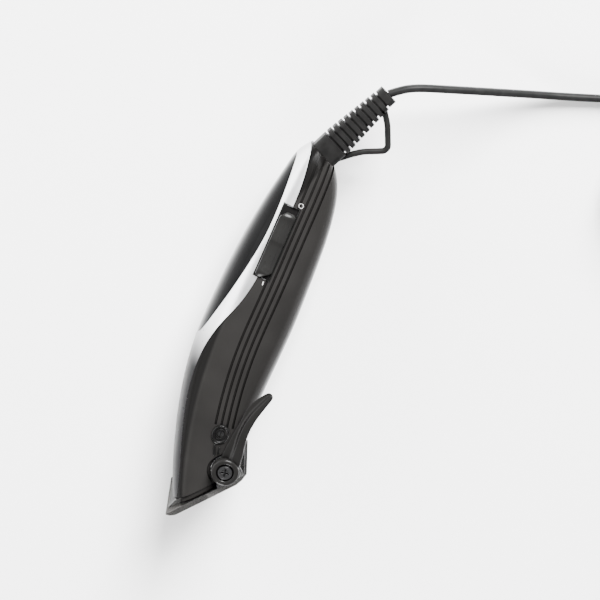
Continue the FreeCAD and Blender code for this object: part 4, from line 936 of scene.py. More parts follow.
@dataclass
class MainsLead:
    """The flat lead, its put-away coil and tie, and its plug."""

    width: float = 5.2 * MM
    thickness: float = 3.3 * MM
    route: Sequence[Point] = (
        (-0.09475, 0.01777, 0.0), (-0.0983, 0.0223, 0.0), (-0.1013, 0.0286, -0.0004),
        (-0.1040, 0.0386, -0.0020), (-0.1072, 0.0515, -0.0060), (-0.1104, 0.0655, -0.0120),
        (-0.1137, 0.0795, -0.0174), (-0.1172, 0.0935, -0.0202), (-0.1212, 0.1075, -0.0208),
        (-0.1265, 0.1255, -0.0206), (-0.1300, 0.1376, -0.0203),
    )
    tail: Sequence[Point] = (
        (-0.1034, 0.1916, -0.0112), (-0.0972, 0.1936, -0.0139), (-0.0903, 0.1956, -0.0161),
        (-0.0835, 0.1973, -0.0167),
    )
    # Each turn's radius in millimetres and its level, from the ground up.
    turns: Sequence[tuple[float, int]] = (
        (31.2, 0), (27.6, 0), (24.0, 0), (24.0, 1), (27.6, 1), (31.2, 1), (24.0, 2), (27.6, 2),
        (31.2, 2), (31.2, 2),
    )
    turn_points: int = 16
    # After this share of a turn the lead climbs, and then shifts, to the next turn's place. At
    # a speed of 1 each would take the whole rest of the turn.
    shift_start: float = 0.7
    shift_speed: float = 1.6
    entry_angle: float = 197.4
    exit_angle: float = 109.2
    first_level: float = -0.02025
    level_step: float = 5.3 * MM
    length: float = 1.77
    plug_heading: float = 14.0
    # The strain relief, in millimetres.
    relief_grooves: int = 5
    groove_pitch: float = 3.3
    groove_depth: float = 0.75
    first_groove: float = 2.2
    relief_radius: float = 3.25
    relief_taper: float = 0.075
    # The plug's sections: place along it, half width and half height, in millimetres.
    plug_sections: Sequence[Point] = (
        (20.0, 5.7, 4.6), (21.5, 6.3, 5.4), (26.0, 7.6, 6.2), (31.0, 9.4, 6.5), (35.0, 13.0, 6.6),
        (38.5, 15.6, 6.7), (43.0, 16.7, 6.75), (50.5, 16.9, 6.75), (52.4, 16.6, 6.5), (53.0, 16.0, 6.0),
    )
    plug_squareness: float = 0.42
    # The finger grips on each side, in millimetres; the first one's place is along, beside and up.
    grip_ribs: int = 5
    grip_pitch: float = 2.2
    first_grip: Point = (41.0, 16.35, -4.3)
    grip_profile: Sequence[Pair] = ((0.35, 0.0), (0.9, 0.05), (0.9, 8.4), (0.35, 8.6))
    # The tie is a band round a stretch of the coil that is this broad.
    coil_breadth: float = 11.9 * MM
    tie_heading: float = -60.0
    tie_squareness: float = 0.3
    tie_ease: float = 0.12 * MM
    tie_thickness: float = 0.45 * MM
    tie_half_width: float = 4.3 * MM
    tie_chamfer: float = 0.3 * MM

    def coil(self, drawing: Drawing) -> list[Vector]:
        """Points of the wound length, turn by turn.

        Args:
            drawing: Gives the coil's centre.

        Returns:
            Points in the row frame.
        """
        centre = drawing.row(*drawing.coil_centre)
        base = drawing.row(0.0, 0.0, self.first_level).z
        last_share = (self.entry_angle - self.exit_angle) / 360.0
        whole = len(self.turns) - 1
        steps = int((whole + last_share) * self.turn_points)
        # A quadratic spline round a circle stays inside its control points by this share.
        swell = 1.0 / (0.5 + 0.5 * math.cos(math.pi / self.turn_points) ** 2)
        points = []
        for step in range(1, steps):
            at = step / self.turn_points
            index = min(int(at), whole)
            share = at - index
            radius, level = self.turns[index]
            if index < whole:
                next_radius, next_level = self.turns[index + 1]
                ahead = self.shift_speed * max(0.0, (share - self.shift_start) / (1.0 - self.shift_start))
                rise, slide = min(1.0, ahead), max(0.0, ahead - (self.shift_speed - 1.0))
                level += (next_level - level) * rise
                radius += (next_radius - radius) * slide
            angle = math.radians(self.entry_angle - 360.0 * at)
            out = radius * swell * MM
            points.append(Vector((
                centre.x + out * math.cos(angle), centre.y + out * math.sin(angle),
                base + level * self.level_step,
            )))
        return points

    def build_cord(self, drawing: Drawing) -> Piece:
        """The whole lead as one smooth curve.

        Args:
            drawing: Places the route's points.

        Returns:
            The curve object.
        """
        points = [drawing.row(*point) for point in self.route]
        points += self.coil(drawing)
        points += [drawing.row(*point) for point in self.tail]
        data = bpy.data.curves.new("mains_cord", "CURVE")
        data.dimensions = "3D"
        data.twist_mode = "Z_UP"
        data.fill_mode = "FULL"
        data.bevel_depth = self.thickness / 2.0
        data.bevel_resolution = 5
        data.extrude = (self.width - self.thickness) / 2.0
        data.resolution_u = 6
        data.use_fill_caps = True
        spline = data.splines.new("NURBS")
        spline.points.add(len(points) - 1)
        for control, point in zip(spline.points, points):
            control.co = (*point, 1.0)
        spline.order_u = 3
        spline.use_endpoint_u = True
        cord = bpy.data.objects.new("mains_cord", data)
        bpy.context.scene.collection.objects.link(cord)
        return cord

    def plug_frame(self, drawing: Drawing) -> Matrix:
        """The plug's own frame: X runs from the cord towards the pins."""
        start = drawing.row(*self.tail[-1])
        return Matrix.Translation(start) @ Matrix.Rotation(math.radians(self.plug_heading), 4, "Z")

    def build_relief(self, place: Matrix) -> Piece:
        """A tapered strain relief with rings and gaps.

        Args:
            place: The plug's frame.

        Returns:
            The relief.
        """
        lay = place @ Matrix.Rotation(math.radians(90.0), 4, "Y")
        # Each groove goes down, along its floor and up to the next ring.
        profile = [(2.2, 0.0), (3.0, 0.15), (self.relief_radius, 0.6)]
        for groove in range(self.relief_grooves):
            along = self.first_groove + groove * self.groove_pitch
            radius = self.relief_radius + along * self.relief_taper
            floor = radius - self.groove_depth
            profile += [(radius, along), (floor, along + 0.15), (floor, along + 1.15)]
            profile.append((radius + 0.08, along + 1.3))
        profile += [(4.7, 19.0), (4.75, 20.3), (2.2, 20.3)]
        build = bmesh.new()
        turned(build, profile, lay)
        piece = new_piece("plug_strain_relief", build)
        smooth(piece, 30.0)
        return piece

    def build_plug(self, place: Matrix) -> Piece:
        """The plug's body: waisted, rounded, with finger grips.

        Args:
            place: The plug's frame.

        Returns:
            The body.
        """
        build = bmesh.new()
        rings = []
        for along, half_width, half_height in self.plug_sections:
            ring = []
            for angle in around(40):
                across, up = squared(angle, self.plug_squareness)
                ring.append(place @ (Vector((along, half_width * across, half_height * up)) * MM))
            rings.append(ring)
        skin(build, rings)
        start, beside, low = self.first_grip
        for side in (-1.0, 1.0):
            for rib in range(self.grip_ribs):
                foot = Vector((start + rib * self.grip_pitch, side * beside, low)) * MM
                turned(build, self.grip_profile, place @ Matrix.Translation(foot), 14)
        piece = new_piece("plug_moulding", build)
        smooth(piece, 35.0)
        return piece

    def build_tie(self) -> Piece:
        """The strap that holds the coil, a band round its section.

        Returns:
            The strap.
        """
        low, high = (Vector(corner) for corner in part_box("cord_coil"))
        centre = middle("cord_coil")
        place = Matrix.Translation(Vector((centre.x, centre.y, 0.0)))
        place = place @ Matrix.Rotation(math.radians(self.tie_heading), 4, "Z")
        centre_r = (high.x - low.x) / 2.0 - self.coil_breadth / 2.0
        reach_r, reach_z = self.coil_breadth / 2.0 + self.tie_ease, (high.z - low.z) / 2.0 + self.tie_ease
        half, thick = self.tie_half_width, self.tie_thickness
        narrow = half - self.tie_chamfer
        build = bmesh.new()
        rows = []
        for angle in around(44):
            outward, up = squared(angle, self.tie_squareness)
            row = []
            for lift, across in ((0.0, -half), (thick, -narrow), (thick, narrow), (0.0, half)):
                radius, height = centre_r + outward * (reach_r + lift), centre.z + up * (reach_z + lift)
                row.append(build.verts.new(place @ Vector((radius, across, height))))
            rows.append(row)
        weave(build, rows)
        piece = new_piece("coil_tie", build)
        smooth(piece, 50.0)
        return piece

    def build(self, drawing: Drawing, paint: PaintShelf) -> None:
        """Args:
            drawing: Places everything.
            paint: Gives the finishes.
        """
        cord = self.build_cord(drawing)
        place = self.plug_frame(drawing)
        relief, plug, tie = self.build_relief(place), self.build_plug(place), self.build_tie()
        paint.dress(cord, Finish.SHEATH)
        paint.dress(relief, Finish.PLUG)
        paint.dress(plug, Finish.PLUG)
        paint.dress(tie, Finish.STRAP)
        paint.dress_node("plug_pins", Finish.PIN)
        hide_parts("cord_tube", "cord_coil", "cord_tail")
        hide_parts("plug_relief")
        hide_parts("plug_body")
        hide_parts("cord_tie")
        slots = {cord: "cord_plastic", relief: "plug_plastic", plug: "plug_plastic", tie: "tie_plastic"}
        for piece, slot in slots.items():
            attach(piece, "casing")
            log.info("made %s", piece.name)


# ------------------------------------------------------------------- casing


@dataclass
class Casing:
    """The two housing halves, the inlay and the printed marks."""

    # Where the two marks stand, in the drawing's metres.
    off_at: Pair = (-0.0396, -0.0028)
    on_at: Pair = (-0.0037, -0.0075)
    ring_radius: float = 0.95 * MM
    line_width: float = 0.16 * MM
    ring_steps: int = 28
    bar: Pair = (1.6 * MM, 0.34 * MM)
    bar_turn: float = 4.0
    # The bar is a band too, whose inner edge is shrunk to almost nothing.
    bar_core: float = 0.05
    print_height: float = 0.05 * MM

    def lay_print(
        self, name: str, outer: Sequence[Vector], inner: Sequence[Vector], surface: Surface
    ) -> Piece:
        """Lay a closed print band on a surface.

        Args:
            name: The print's name.
            outer: Outer points, with z ignored.
            inner: Inner points, the same number.
            surface: What it lies on.

        Returns:
            The print.
        """
        build = bmesh.new()
        rows = []
        for pair in zip(outer, inner):
            row = []
            for spot in pair:
                point, normal = surface.above(spot.x, spot.y)
                row.append(build.verts.new(point + normal * self.print_height))
            rows.append(row)
        for index, row in enumerate(rows):
            ahead = rows[(index + 1) % len(rows)]
            build.faces.new((row[0], row[1], ahead[1], ahead[0]))
        return new_piece(name, build)

    def build_marks(self, drawing: Drawing) -> list[Piece]:
        """The plain ring for off and the plain bar for on.

        Args:
            drawing: Places the marks.

        Returns:
            The two prints.
        """
        surface = Surface("rear_housing", "front_frame")
        centre = drawing.row(*self.off_at, 0.0)
        spokes = [spoke(angle) for angle in around(self.ring_steps)]
        half_line = self.line_width / 2.0
        outer = [centre + way * (self.ring_radius + half_line) for way in spokes]
        inner = [centre + way * (self.ring_radius - half_line) for way in spokes]
        off_mark = self.lay_print("mark_off", outer, inner, surface)
        centre = drawing.row(*self.on_at, 0.0)
        turn = Matrix.Rotation(math.radians(self.bar_turn), 3, "Z")
        x, y = self.bar[0] / 2.0, self.bar[1] / 2.0
        corners = ((-x, -y), (-x, y), (0.0, y), (x, y), (x, -y), (0.0, -y))
        outer = [centre + turn @ Vector((*corner, 0.0)) for corner in corners]
        inner = [centre + (point - centre) * self.bar_core for point in outer]
        on_mark = self.lay_print("mark_on", outer, inner, surface)
        return [off_mark, on_mark]

    def build(self, drawing: Drawing, paint: PaintShelf) -> None:
        """Dress the casing and print its marks.

        Args:
            drawing: Places the marks.
            paint: Gives the finishes.
        """
        paint.dress_node("rear_housing", Finish.HOUSING)
        paint.dress_node("front_frame", Finish.SILVER)
        paint.dress_node("front_cover", Finish.INLAY)
        paint.dress_node("housing_screws", Finish.ZINC)
        for piece in self.build_marks(drawing):
            paint.dress(piece, Finish.INK)
            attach(piece, "casing")
            log.info("made %s", piece.name)


@dataclass
class TaperLever:
    """The sculpted thumb lever with its hub and the eccentric cam under it, in millimetres."""

    hub_thickness: float = 4.0
    # How high the arm's back stands over the hub's.
    back: float = 0.45
    cam_radius: float = 4.0
    cam_centre: Pair = (0.653, 1.710)
    cam_bore: float = 1.9
    cam_depth: float = 1.6
    cam_chamfer: float = 0.3
    # How far the cam reaches into the hub, so that no gap shows between them.
    cam_overlap: float = 0.05
    hub_profile: Sequence[Pair] = (
        (1.56, 0.0), (5.9, 0.0), (6.1, 0.25), (6.1, 3.0), (5.95, 3.5), (5.6, 3.85), (5.1, 4.0),
        (4.3, 4.0), (3.95, 3.85), (3.75, 3.5), (3.7, 3.0), (3.7, 2.0), (1.56, 2.0),
    )
    # Inner edge, crest, outer edge and crest height, station by station.
    stations: Sequence[tuple[Pair, Pair, Pair, float]] = (
        ((-1.5, -4.2), (-2.0, 0.3), (-1.0, 4.9), 2.9), ((-5.2, -3.6), (-6.0, 1.0), (-4.6, 5.2), 3.0),
        ((-9.2, -3.2), (-10.0, 1.1), (-8.8, 5.1), 3.2), ((-13.2, -2.7), (-13.8, 0.8), (-13.0, 4.4), 3.4),
        ((-17.5, -2.0), (-18.0, 0.6), (-17.4, 4.05), 3.55), ((-22.0, -1.2), (-22.6, 0.8), (-21.6, 4.2), 3.6),
        ((-26.4, -0.6), (-26.8, 1.8), (-25.8, 4.9), 3.6), ((-30.6, -0.1), (-30.8, 3.3), (-29.4, 5.9), 3.5),
        ((-34.2, 1.6), (-34.4, 5.1), (-33.0, 7.1), 3.3), ((-37.8, 4.3), (-37.6, 6.7), (-36.4, 8.35), 2.9),
        ((-40.6, 6.7), (-40.0, 8.0), (-38.9, 9.15), 2.4),
    )

    def build_arm(self, build: bmesh.types.BMesh, place: Matrix) -> None:
        """The arm: a dark slope up to a long crest, and a band that falls to the outside.

        Args:
            build: Where the faces go.
            place: The lever's frame, with Z = 0 at the hub's back.
        """
        rings = []
        # Each spot of a section is a place across the arm and its height.
        for inner, crest, outer, top in self.stations:
            low, ridge, far = Vector((*inner, 0.0)), Vector((*crest, 0.0)), Vector((*outer, 0.0))
            slope = [(low.lerp(ridge, 0.15), 1.0), (low.lerp(ridge, 0.5), 0.36 * top),
                     (low.lerp(ridge, 0.78), 0.5 * top), (low.lerp(ridge, 0.95), 0.9 * top)]
            band = [(ridge.lerp(far, 0.08), top), (ridge.lerp(far, 0.6), top - 0.12),
                    (ridge.lerp(far, 0.92), top - 0.42), (far, top - 0.8), (far, 0.7)]
            back = [(far.lerp(low, 0.05), self.back), (far.lerp(low, 0.5), self.back)]
            spots = [(low, self.back), (low, 0.8), *slope, *band, *back]
            rings.append([place @ ((spot + Vector((0.0, 0.0, height))) * MM) for spot, height in spots])
        skin(build, rings)

    def build(self, paint: PaintShelf) -> None:
        """Make the lever and let it ride on its own body.

        Args:
            paint: Gives the finish.
        """
        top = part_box("taper_lever")[1][2]
        hub = joint_place("taper_lever_turn")
        place = Matrix.Translation(Vector((hub.x, hub.y, top - self.hub_thickness * MM)))
        arm = bmesh.new()
        self.build_arm(arm, place)
        arm_piece = new_piece("lever_arm_form", arm)
        rounding = arm_piece.modifiers.new("flow", "SUBSURF")
        rounding.levels = rounding.render_levels = 2
        settle(arm_piece)
        build = bmesh.new()
        build.from_mesh(arm_piece.data)
        bpy.data.objects.remove(arm_piece)
        turned(build, self.hub_profile, place, 72)
        edge, foot, chamfer = self.cam_radius, -self.cam_depth, self.cam_chamfer
        cam_profile = [
            (self.cam_bore, foot), (edge - chamfer, foot), (edge, foot + chamfer),
            (edge, self.cam_overlap), (self.cam_bore, self.cam_overlap),
        ]
        turned(build, cam_profile, place @ Matrix.Translation(Vector((*self.cam_centre, 0.0)) * MM))
        lever = new_piece("taper_lever_form", build)
        smooth(lever, 38.0)
        paint.dress(lever, Finish.LEVER)
        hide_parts("taper_lever")
        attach(lever, "lever")
        log.info("made %s", lever.name)


@dataclass
class CrossScrew:
    """The pan head of the lever screw: a cross recess and short cuts between its arms.

    All sizes are millimetres.
    """

    profile: Sequence[Pair] = (
        (0.0, -1.0), (2.9, -1.0), (3.05, -0.85), (3.05, -0.35), (2.85, -0.1), (2.35, 0.0), (0.0, 0.0),
    )
    # How far the head stands over the screw in the frame, how deep the cuts go, and how far the
    # blocks that cut them reach out at the top.
    lift: float = 0.12
    recess: float = 0.85
    clear: float = 0.3
    # Each cut's length and width, and its angle in radians. Each has a second one square to it.
    cuts: Sequence[Point] = ((4.7, 1.05, 0.2), (3.3, 0.5, 0.985))

    def build(self, paint: PaintShelf) -> None:
        """Make the head, which stands still as the lever turns.

        Args:
            paint: Gives the finish.
        """
        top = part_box("lever_screw")[1][2]
        hub = joint_place("taper_lever_turn")
        crown = Matrix.Translation(Vector((hub.x, hub.y, top + self.lift * MM)))
        build = bmesh.new()
        turned(build, self.profile, crown, 64)
        head = new_piece("lever_screw_crown", build)
        for length, width, angle in self.cuts:
            for quarter in (0.0, math.pi / 2.0):
                block = bmesh.new()
                turn = crown @ Matrix.Rotation(angle + quarter, 4, "Z")
                prism(block, (length, width), -self.recess, self.clear, turn)
                tool = new_piece("cross_tool", block)
                cross = head.modifiers.new("cross", "BOOLEAN")
                cross.operation, cross.object, cross.solver = "DIFFERENCE", tool, "EXACT"
                settle(head)
                bpy.data.objects.remove(tool)
        smooth(head, 30.0)
        paint.dress(head, Finish.BLACK_STEEL)
        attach(head, "casing")
        log.info("made %s", head.name)


@dataclass
class PowerSwitch:
    """The sliding thumb button and the black surround of its well, in millimetres."""

    well: Pair = (33.0, 7.0)
    depth: float = 1.2
    proud: float = 1.5
    travel: float = 2.6
    gap: float = 0.2
    stem: Pair = (3.6, 2.4)
    stem_length: float = 4.4
    # How far each corner is cut off, along and across: left and right at the off end, then
    # left and right at the on end.
    corner_cuts: Sequence[Pair] = ((2.6, 2.4), (1.0, 1.0), (0.6, 1.0), (3.2, 4.0))
    # The least rise from one point of the button's section to the next.
    least_step: float = 0.05
    # The rounded shoulder of that section: how far in from the side, and how far under the top.
    shoulder: Sequence[Pair] = ((0.0, 0.5), (0.12, 0.2), (0.5, 0.0))
    # How far the tray's lip laps past the well and where its crest stands, along and across.
    lip: Pair = (0.3, 0.4)
    lip_crest: Pair = (0.12, 0.12)
    lip_heights: Sequence[float] = (0.01, 0.16, 0.2, 0.1)
    # The tray's wall and its underside's edge, against the well's, and its floor's two heights.
    tray_wall: Pair = (-0.08, -0.08)
    tray_skirt: Pair = (-0.01, -0.01)
    tray_floor: Pair = (0.12, 0.02)
    slot_clear: float = 0.3
    # The points over the middle fifth of the well span the slot's long sides.
    slot_run: float = 5.0
    # Places along the button from its off end, and how high its top stands there.
    crown: Sequence[Pair] = (
        (0.0, 0.1), (0.35, 0.7), (1.0, 1.1), (1.7, 1.3), (2.4, 1.24), (3.2, 1.04), (4.2, 0.9), (6.0, 0.86),
        (9.0, 0.92), (11.8, 1.02), (13.0, 1.1), (13.6, 1.06), (14.1, 0.78), (15.5, 0.66), (19.0, 0.68),
        (23.0, 0.76), (25.2, 0.88), (26.4, 1.08), (27.4, 1.18), (28.2, 1.06), (29.0, 0.76), (29.7, 0.4),
        (30.0, 0.0),
    )

    def frame(self) -> Matrix:
        """The button's own frame: X runs to its on end, Z out of the flank.

        Returns:
            The frame, with its origin in the middle of the well's mouth.
        """
        axis = -Vector(joint_entry("switch_slide")["axis"]).normalized()
        across = Vector((0.0, 0.0, 1.0)).cross(axis).normalized()
        out = axis.cross(across)
        reach = self.well[0] / 2.0 - self.gap
        rise = reach * axis.z + self.proud * out.z
        origin = middle("switch_button") - axis * (self.travel / 2.0 * MM)
        origin.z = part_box("switch_button")[1][2] - rise * MM
        return Matrix.Translation(origin) @ Matrix((axis, across, out)).transposed().to_4x4()

    def sides(self, along: float) -> Pair:
        """The button's two side lines at a place along it, cut off at its corners.

        Args:
            along: Millimetres from the off end.

        Returns:
            Where the left and the right side stand.
        """
        length = self.well[0] - self.travel - 2.0 * self.gap
        half = self.well[1] / 2.0 - self.gap
        places = (along, along, length - along, length - along)
        cuts = [across * (1.0 - place / run) for place, (run, across) in zip(places, self.corner_cuts)]
        return max(0.0, cuts[0], cuts[2]) - half, half - max(0.0, cuts[1], cuts[3])

    def build_button(self, place: Matrix) -> Piece:
        """The button with a finger ridge at each end and a step half way.

        Args:
            place: The button's frame.

        Returns:
            The button.
        """
        start = -self.well[0] / 2.0 + self.travel + self.gap
        floor = -self.depth + self.gap
        build = bmesh.new()
        rings = []
        for along, top in self.crown:
            left, right = self.sides(along)
            near = [(left, floor), *((left + inset, top - drop) for inset, drop in self.shoulder)]
            far = [(right, floor), *((right - inset, top - drop) for inset, drop in self.shoulder)]
            shape = [*enumerate(near), *reversed([*enumerate(far)])]
            rings.append([
                place @ (Vector((start + along, y, max(z, floor + self.least_step * number))) * MM)
                for number, (y, z) in shape
            ])
        skin(build, rings)
        prism(build, self.stem, floor - self.stem_length, floor + 0.1, place)
        piece = new_piece("switch_thumb", build)
        smooth(piece, 32.0)
        return piece

    def rim(self) -> list[Pair]:
        """Points round the well's edge, as shares of its half length and half width.

        Returns:
            The points, corner by corner.
        """
        corners = ((-1.0, -1.0), (1.0, -1.0), (1.0, 1.0), (-1.0, 1.0), (-1.0, -1.0))
        points = []
        for start, end, steps in zip(corners, corners[1:], (22, 6, 22, 6)):
            for step in range(steps):
                share = step / steps
                points.append(tuple(Vector(start).lerp(Vector(end), share)))
        return points

    def beside(self, place: Matrix, share: Pair, wider: Pair, height: float = 0.0) -> Vector:
        """A place beside the well's edge.

        Args:
            place: The button's frame.
            share: Which point of the edge, as rim gives it.
            wider: How far outside the edge, along and across, in millimetres.
            height: Local height in millimetres.

        Returns:
            The place in the row frame.
        """
        x = share[0] * (self.well[0] / 2.0 + wider[0])
        y = share[1] * (self.well[1] / 2.0 + wider[1])
        return place @ (Vector((x, y, height)) * MM)

    def build_surround(self, place: Matrix, flank: Surface) -> Piece:
        """A thin black tray that lines the well, laps over its rim and leaves a slot for the stem.

        Args:
            place: The button's frame.
            flank: The casing's outside.

        Returns:
            The tray.
        """
        slot_start = -self.stem[0] / 2.0 - self.travel - self.slot_clear
        slot_end = self.stem[0] / 2.0 + self.slot_clear
        slot_middle, slot_half = (slot_start + slot_end) / 2.0, (slot_end - slot_start) / 2.0
        slot_side = self.stem[1] / 2.0 + self.slot_clear
        high, low = (share - self.depth for share in self.tray_floor)
        outer, crest, ridge, inside = (Vector((0.0, 0.0, height)) * MM for height in self.lip_heights)
        build = bmesh.new()
        rows = []
        for share in self.rim():
            outside, edge = self.beside(place, share, self.lip), self.beside(place, share, self.lip_crest)
            foot, lip = flank.above(outside.x, outside.y)[0], flank.above(edge.x, edge.y)[0]
            inner = self.beside(place, share, self.tray_wall)
            slot_x = slot_middle + max(-1.0, min(1.0, self.slot_run * share[0])) * slot_half
            slot_y = share[1] * slot_side
            row = [
                foot + outer, foot.lerp(lip, 0.25) + crest, lip + ridge,
                Vector((inner.x, inner.y, lip.z)) + inside,
                self.beside(place, share, self.tray_wall, high),
                place @ (Vector((slot_x, slot_y, high)) * MM), place @ (Vector((slot_x, slot_y, low)) * MM),
                self.beside(place, share, self.tray_skirt, low),
            ]
            rows.append([build.verts.new(point) for point in row])
        weave(build, rows)
        piece = new_piece("switch_surround", build)
        smooth(piece, 30.0)
        return piece

    def build(self, paint: PaintShelf) -> None:
        """Make the button and its surround.

        Args:
            paint: Gives the finishes.
        """
        place = self.frame()
        button = self.build_button(place)
        paint.dress(button, Finish.SWITCH)
        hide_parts("switch_button")
        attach(button, "switch")
        tray = self.build_surround(place, Surface("rear_housing", "front_frame"))
        paint.dress(tray, Finish.TRIM)
        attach(tray, "casing")
        log.info("made %s and %s", button.name, tray.name)


@dataclass
class PowerDial:
    """The raised collar round the power screw and the plain ribs under it, in millimetres."""

    collar: Pair = (4.5, 3.8)
    hole: float = 1.75
    centre: Pair = (66.4, -2.7)
    # The collar's section: the share of the way from its outside to its hole, and the height.
    section: Sequence[Pair] = (
        (0.0, -0.05), (0.05, 0.45), (0.16, 0.65), (0.32, 0.62), (0.46, 0.15), (0.7, 0.1), (0.82, 0.5),
        (1.0, 0.45), (1.0, -0.3),
    )
    # From this share on, the bore is under the collar, which keeps the last height of the flank.
    bore_share: float = 0.7
    # Where the collar's key way starts and ends, in half turns and across the collar, and how
    # high it is left.
    key_way: Pair = (0.55, 0.8)
    key_span: Pair = (0.05, 0.9)
    key_height: float = 0.35
    # Each rib's two ends and its width, in drawing millimetres.
    ribs: Sequence[tuple[Pair, Pair, float]] = (
        ((71.3, -3.75), (76.6, -2.1), 1.15), ((71.9, -1.3), (75.6, -0.8), 0.85),
    )
    # A rib's section, as a share of its width and a height, and how it narrows to its ends.
    rib_section: Sequence[Pair] = (
        (-0.5, -0.25), (-0.48, 0.12), (-0.3, 0.32), (0.0, 0.38), (0.3, 0.32), (0.48, 0.12), (0.5, -0.25),
    )
    rib_ends: Sequence[Pair] = (
        (0.0, 0.35), (0.05, 0.8), (0.15, 1.0), (0.5, 1.0), (0.85, 1.0), (0.95, 0.8), (1.0, 0.35),
    )

    def build_collar(self, drawing: Drawing, flank: Surface) -> Piece:
        """A low oval collar with a dished top and a key way on one side.

        Args:
            drawing: Places the collar.
            flank: What it stands on.

        Returns:
            The collar.
        """
        screw = joint_place("power_adjuster_turn")
        centre = drawing.row(self.centre[0] * MM, self.centre[1] * MM, 0.0)
        build = bmesh.new()
        rows = []
        for angle in around(56):
            way = spoke(angle)
            rim = centre + Vector((way.x * self.collar[0], way.y * self.collar[1], 0.0)) * MM
            hole = Vector((screw.x, screw.y, 0.0)) + way * self.hole * MM
            in_way = self.key_way[0] < angle / math.pi < self.key_way[1]
            row = []
            for share, lift in self.section:
                spot = rim.lerp(hole, share)
                if share < self.bore_share:
                    ground = flank.above(spot.x, spot.y)[0].z
                keyed = in_way and self.key_span[0] < share < self.key_span[1]
                height = lift * (self.key_height if keyed else 1.0)
                row.append(build.verts.new(Vector((spot.x, spot.y, ground + height * MM))))
            rows.append(row)
        weave(build, rows)
        piece = new_piece("power_collar", build)
        smooth(piece, 35.0)
        return piece

    def build_rib(self, number: int, drawing: Drawing, flank: Surface) -> Piece:
        """One rounded rib on the flank.

        Args:
            number: Which rib.
            drawing: Places it.
            flank: What it stands on.

        Returns:
            The rib.
        """
        start, end, width = self.ribs[number]
        low, high = (drawing.row(x * MM, y * MM, 0.0) for x, y in (start, end))
        along = (high - low).normalized()
        side = Vector((-along.y, along.x, 0.0))
        build = bmesh.new()
        rings = []
        for share, narrow in self.rib_ends:
            spot = low.lerp(high, share)
            point = flank.above(spot.x, spot.y)[0]
            rings.append([
                point + (side * (y * width * narrow) + Vector((0.0, 0.0, z * narrow if z > 0.0 else z))) * MM
                for y, z in self.rib_section
            ])
        skin(build, rings)
        piece = new_piece(f"power_rib_{number + 1}", build)
        smooth(piece, 50.0)
        return piece

    def build(self, drawing: Drawing, paint: PaintShelf) -> None:
        """Make the collar and the ribs.

        Args:
            drawing: Places them.
            paint: Gives the finish.
        """
        flank = Surface("rear_housing")
        pieces = [self.build_collar(drawing, flank)]
        pieces += [self.build_rib(number, drawing, flank) for number in range(len(self.ribs))]
        for piece in pieces:
            paint.dress(piece, Finish.TRIM)
            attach(piece, "casing")
            log.info("made %s", piece.name)


# ----------------------------------------------------------- plain dressings


@dataclass
class Fittings:
    """CAD nodes that keep their own shape and only take a finish."""

    finishes: dict[Finish, Sequence[str]] = field(default_factory=lambda: {
        Finish.CASE: ("switch_body", "cord_clamp"),
        Finish.ADJUSTER: ("power_screw",),
        Finish.BLACK_STEEL: ("lever_screw", "lever_washer"),
        Finish.BLADE: ("fixed_blade",),
        Finish.CUTTER: ("moving_blade",),
        Finish.CARRIER: ("blade_carrier",),
        Finish.SPRING: ("power_spring", "tension_spring", "leaf_spring"),
        Finish.ZINC: ("blade_screws", "armature_rivets", "bracket_screws", "motor_screws", "clamp_screws"),
        Finish.NYLON: ("cutter_follower", "drive_finger", "coil_bobbin"),
        Finish.ALUMINIUM: ("armature_arm", "pivot_bracket"),
        Finish.CORE: ("armature_core", "stator_core"),
        Finish.COPPER: ("coil_winding",),
        Finish.GUARD: ("cord_guard",),
        Finish.WIRE: ("lead_wires",),
    })

    def build(self, paint: PaintShelf) -> None:
        """Dress each node.

        Args:
            paint: Gives the finishes.
        """
        for finish, nodes in self.finishes.items():
            for node in nodes:
                paint.dress_node(node, finish)


# ------------------------------------------------------------------- studio


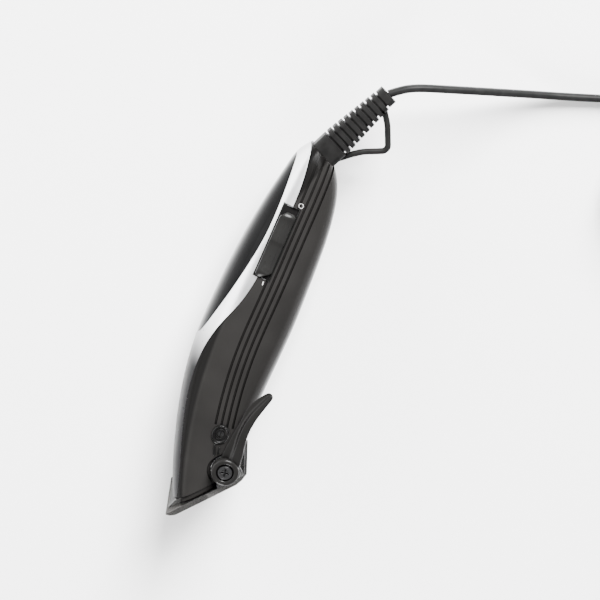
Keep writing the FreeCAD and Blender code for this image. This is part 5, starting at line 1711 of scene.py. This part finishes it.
@dataclass
class Studio:
    """Pale floor and soft lights."""

    floor_half: float = 3.0
    floor_drop: float = 0.2 * MM
    air: float = 0.25
    # Each light's name, place, width and height in metres, and power in watts.
    boxes: Sequence[tuple[str, Point, Pair, float]] = (
        ("tail_end_softbox", (-2.0, 0.1, 1.5), (1.0, 1.6), 560.0),
        ("blade_end_softbox", (2.1, 0.1, 0.8), (0.7, 1.6), 130.0),
        ("front_softbox", (0.0, -1.9, 0.68), (3.2, 1.2), 95.0),
    )

    def build_floor(self, paint: PaintShelf) -> None:
        """A wide pale sheet under the object.

        Args:
            paint: Gives the finish.
        """
        build = bmesh.new()
        bmesh.ops.create_grid(build, x_segments=8, y_segments=8, size=self.floor_half)
        floor = new_piece("studio_floor", build)
        floor.location.z = -self.floor_drop
        paint.dress(floor, Finish.PAPER)

    def softbox(self, name: str, at: Point, size: Pair, power: float) -> None:
        """One rectangular soft light that faces the row frame's origin.

        Args:
            name: The light's name.
            at: Where it hangs.
            size: Width and height in metres.
            power: Output in watts.
        """
        data = bpy.data.lights.new(name, "AREA")
        data.shape = "RECTANGLE"
        data.size, data.size_y = size
        data.energy = power
        lamp = bpy.data.objects.new(name, data)
        bpy.context.scene.collection.objects.link(lamp)
        lamp.location = at
        lamp.rotation_mode = "QUATERNION"
        lamp.rotation_quaternion = (-Vector(at)).to_track_quat("-Z", "Y")

    def build(self, paint: PaintShelf) -> None:
        """Make the floor, the lights and the pale surroundings.

        Args:
            paint: Gives the floor's finish.
        """
        self.build_floor(paint)
        world = bpy.data.worlds.new("studio_air")
        world.use_nodes = True
        background = world.node_tree.nodes["Background"]
        background.inputs["Color"].default_value = (1.0, 1.0, 1.0, 1.0)
        background.inputs["Strength"].default_value = self.air
        bpy.context.scene.world = world
        for name, at, size, power in self.boxes:
            self.softbox(name, at, size, power)


def main() -> None:
    """Build the clipper's looks, camera and cord first."""
    logging.basicConfig(level=logging.INFO, format="%(name)s: %(message)s")
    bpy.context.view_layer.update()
    drawing, paint = Drawing(), PaintShelf()
    ViewingPoint().build(drawing)
    MainsLead().build(drawing, paint)
    Casing().build(drawing, paint)
    TaperLever().build(paint)
    CrossScrew().build(paint)
    PowerSwitch().build(paint)
    PowerDial().build(drawing, paint)
    Fittings().build(paint)
    Studio().build(paint)


if __name__ == "__main__":
    main()
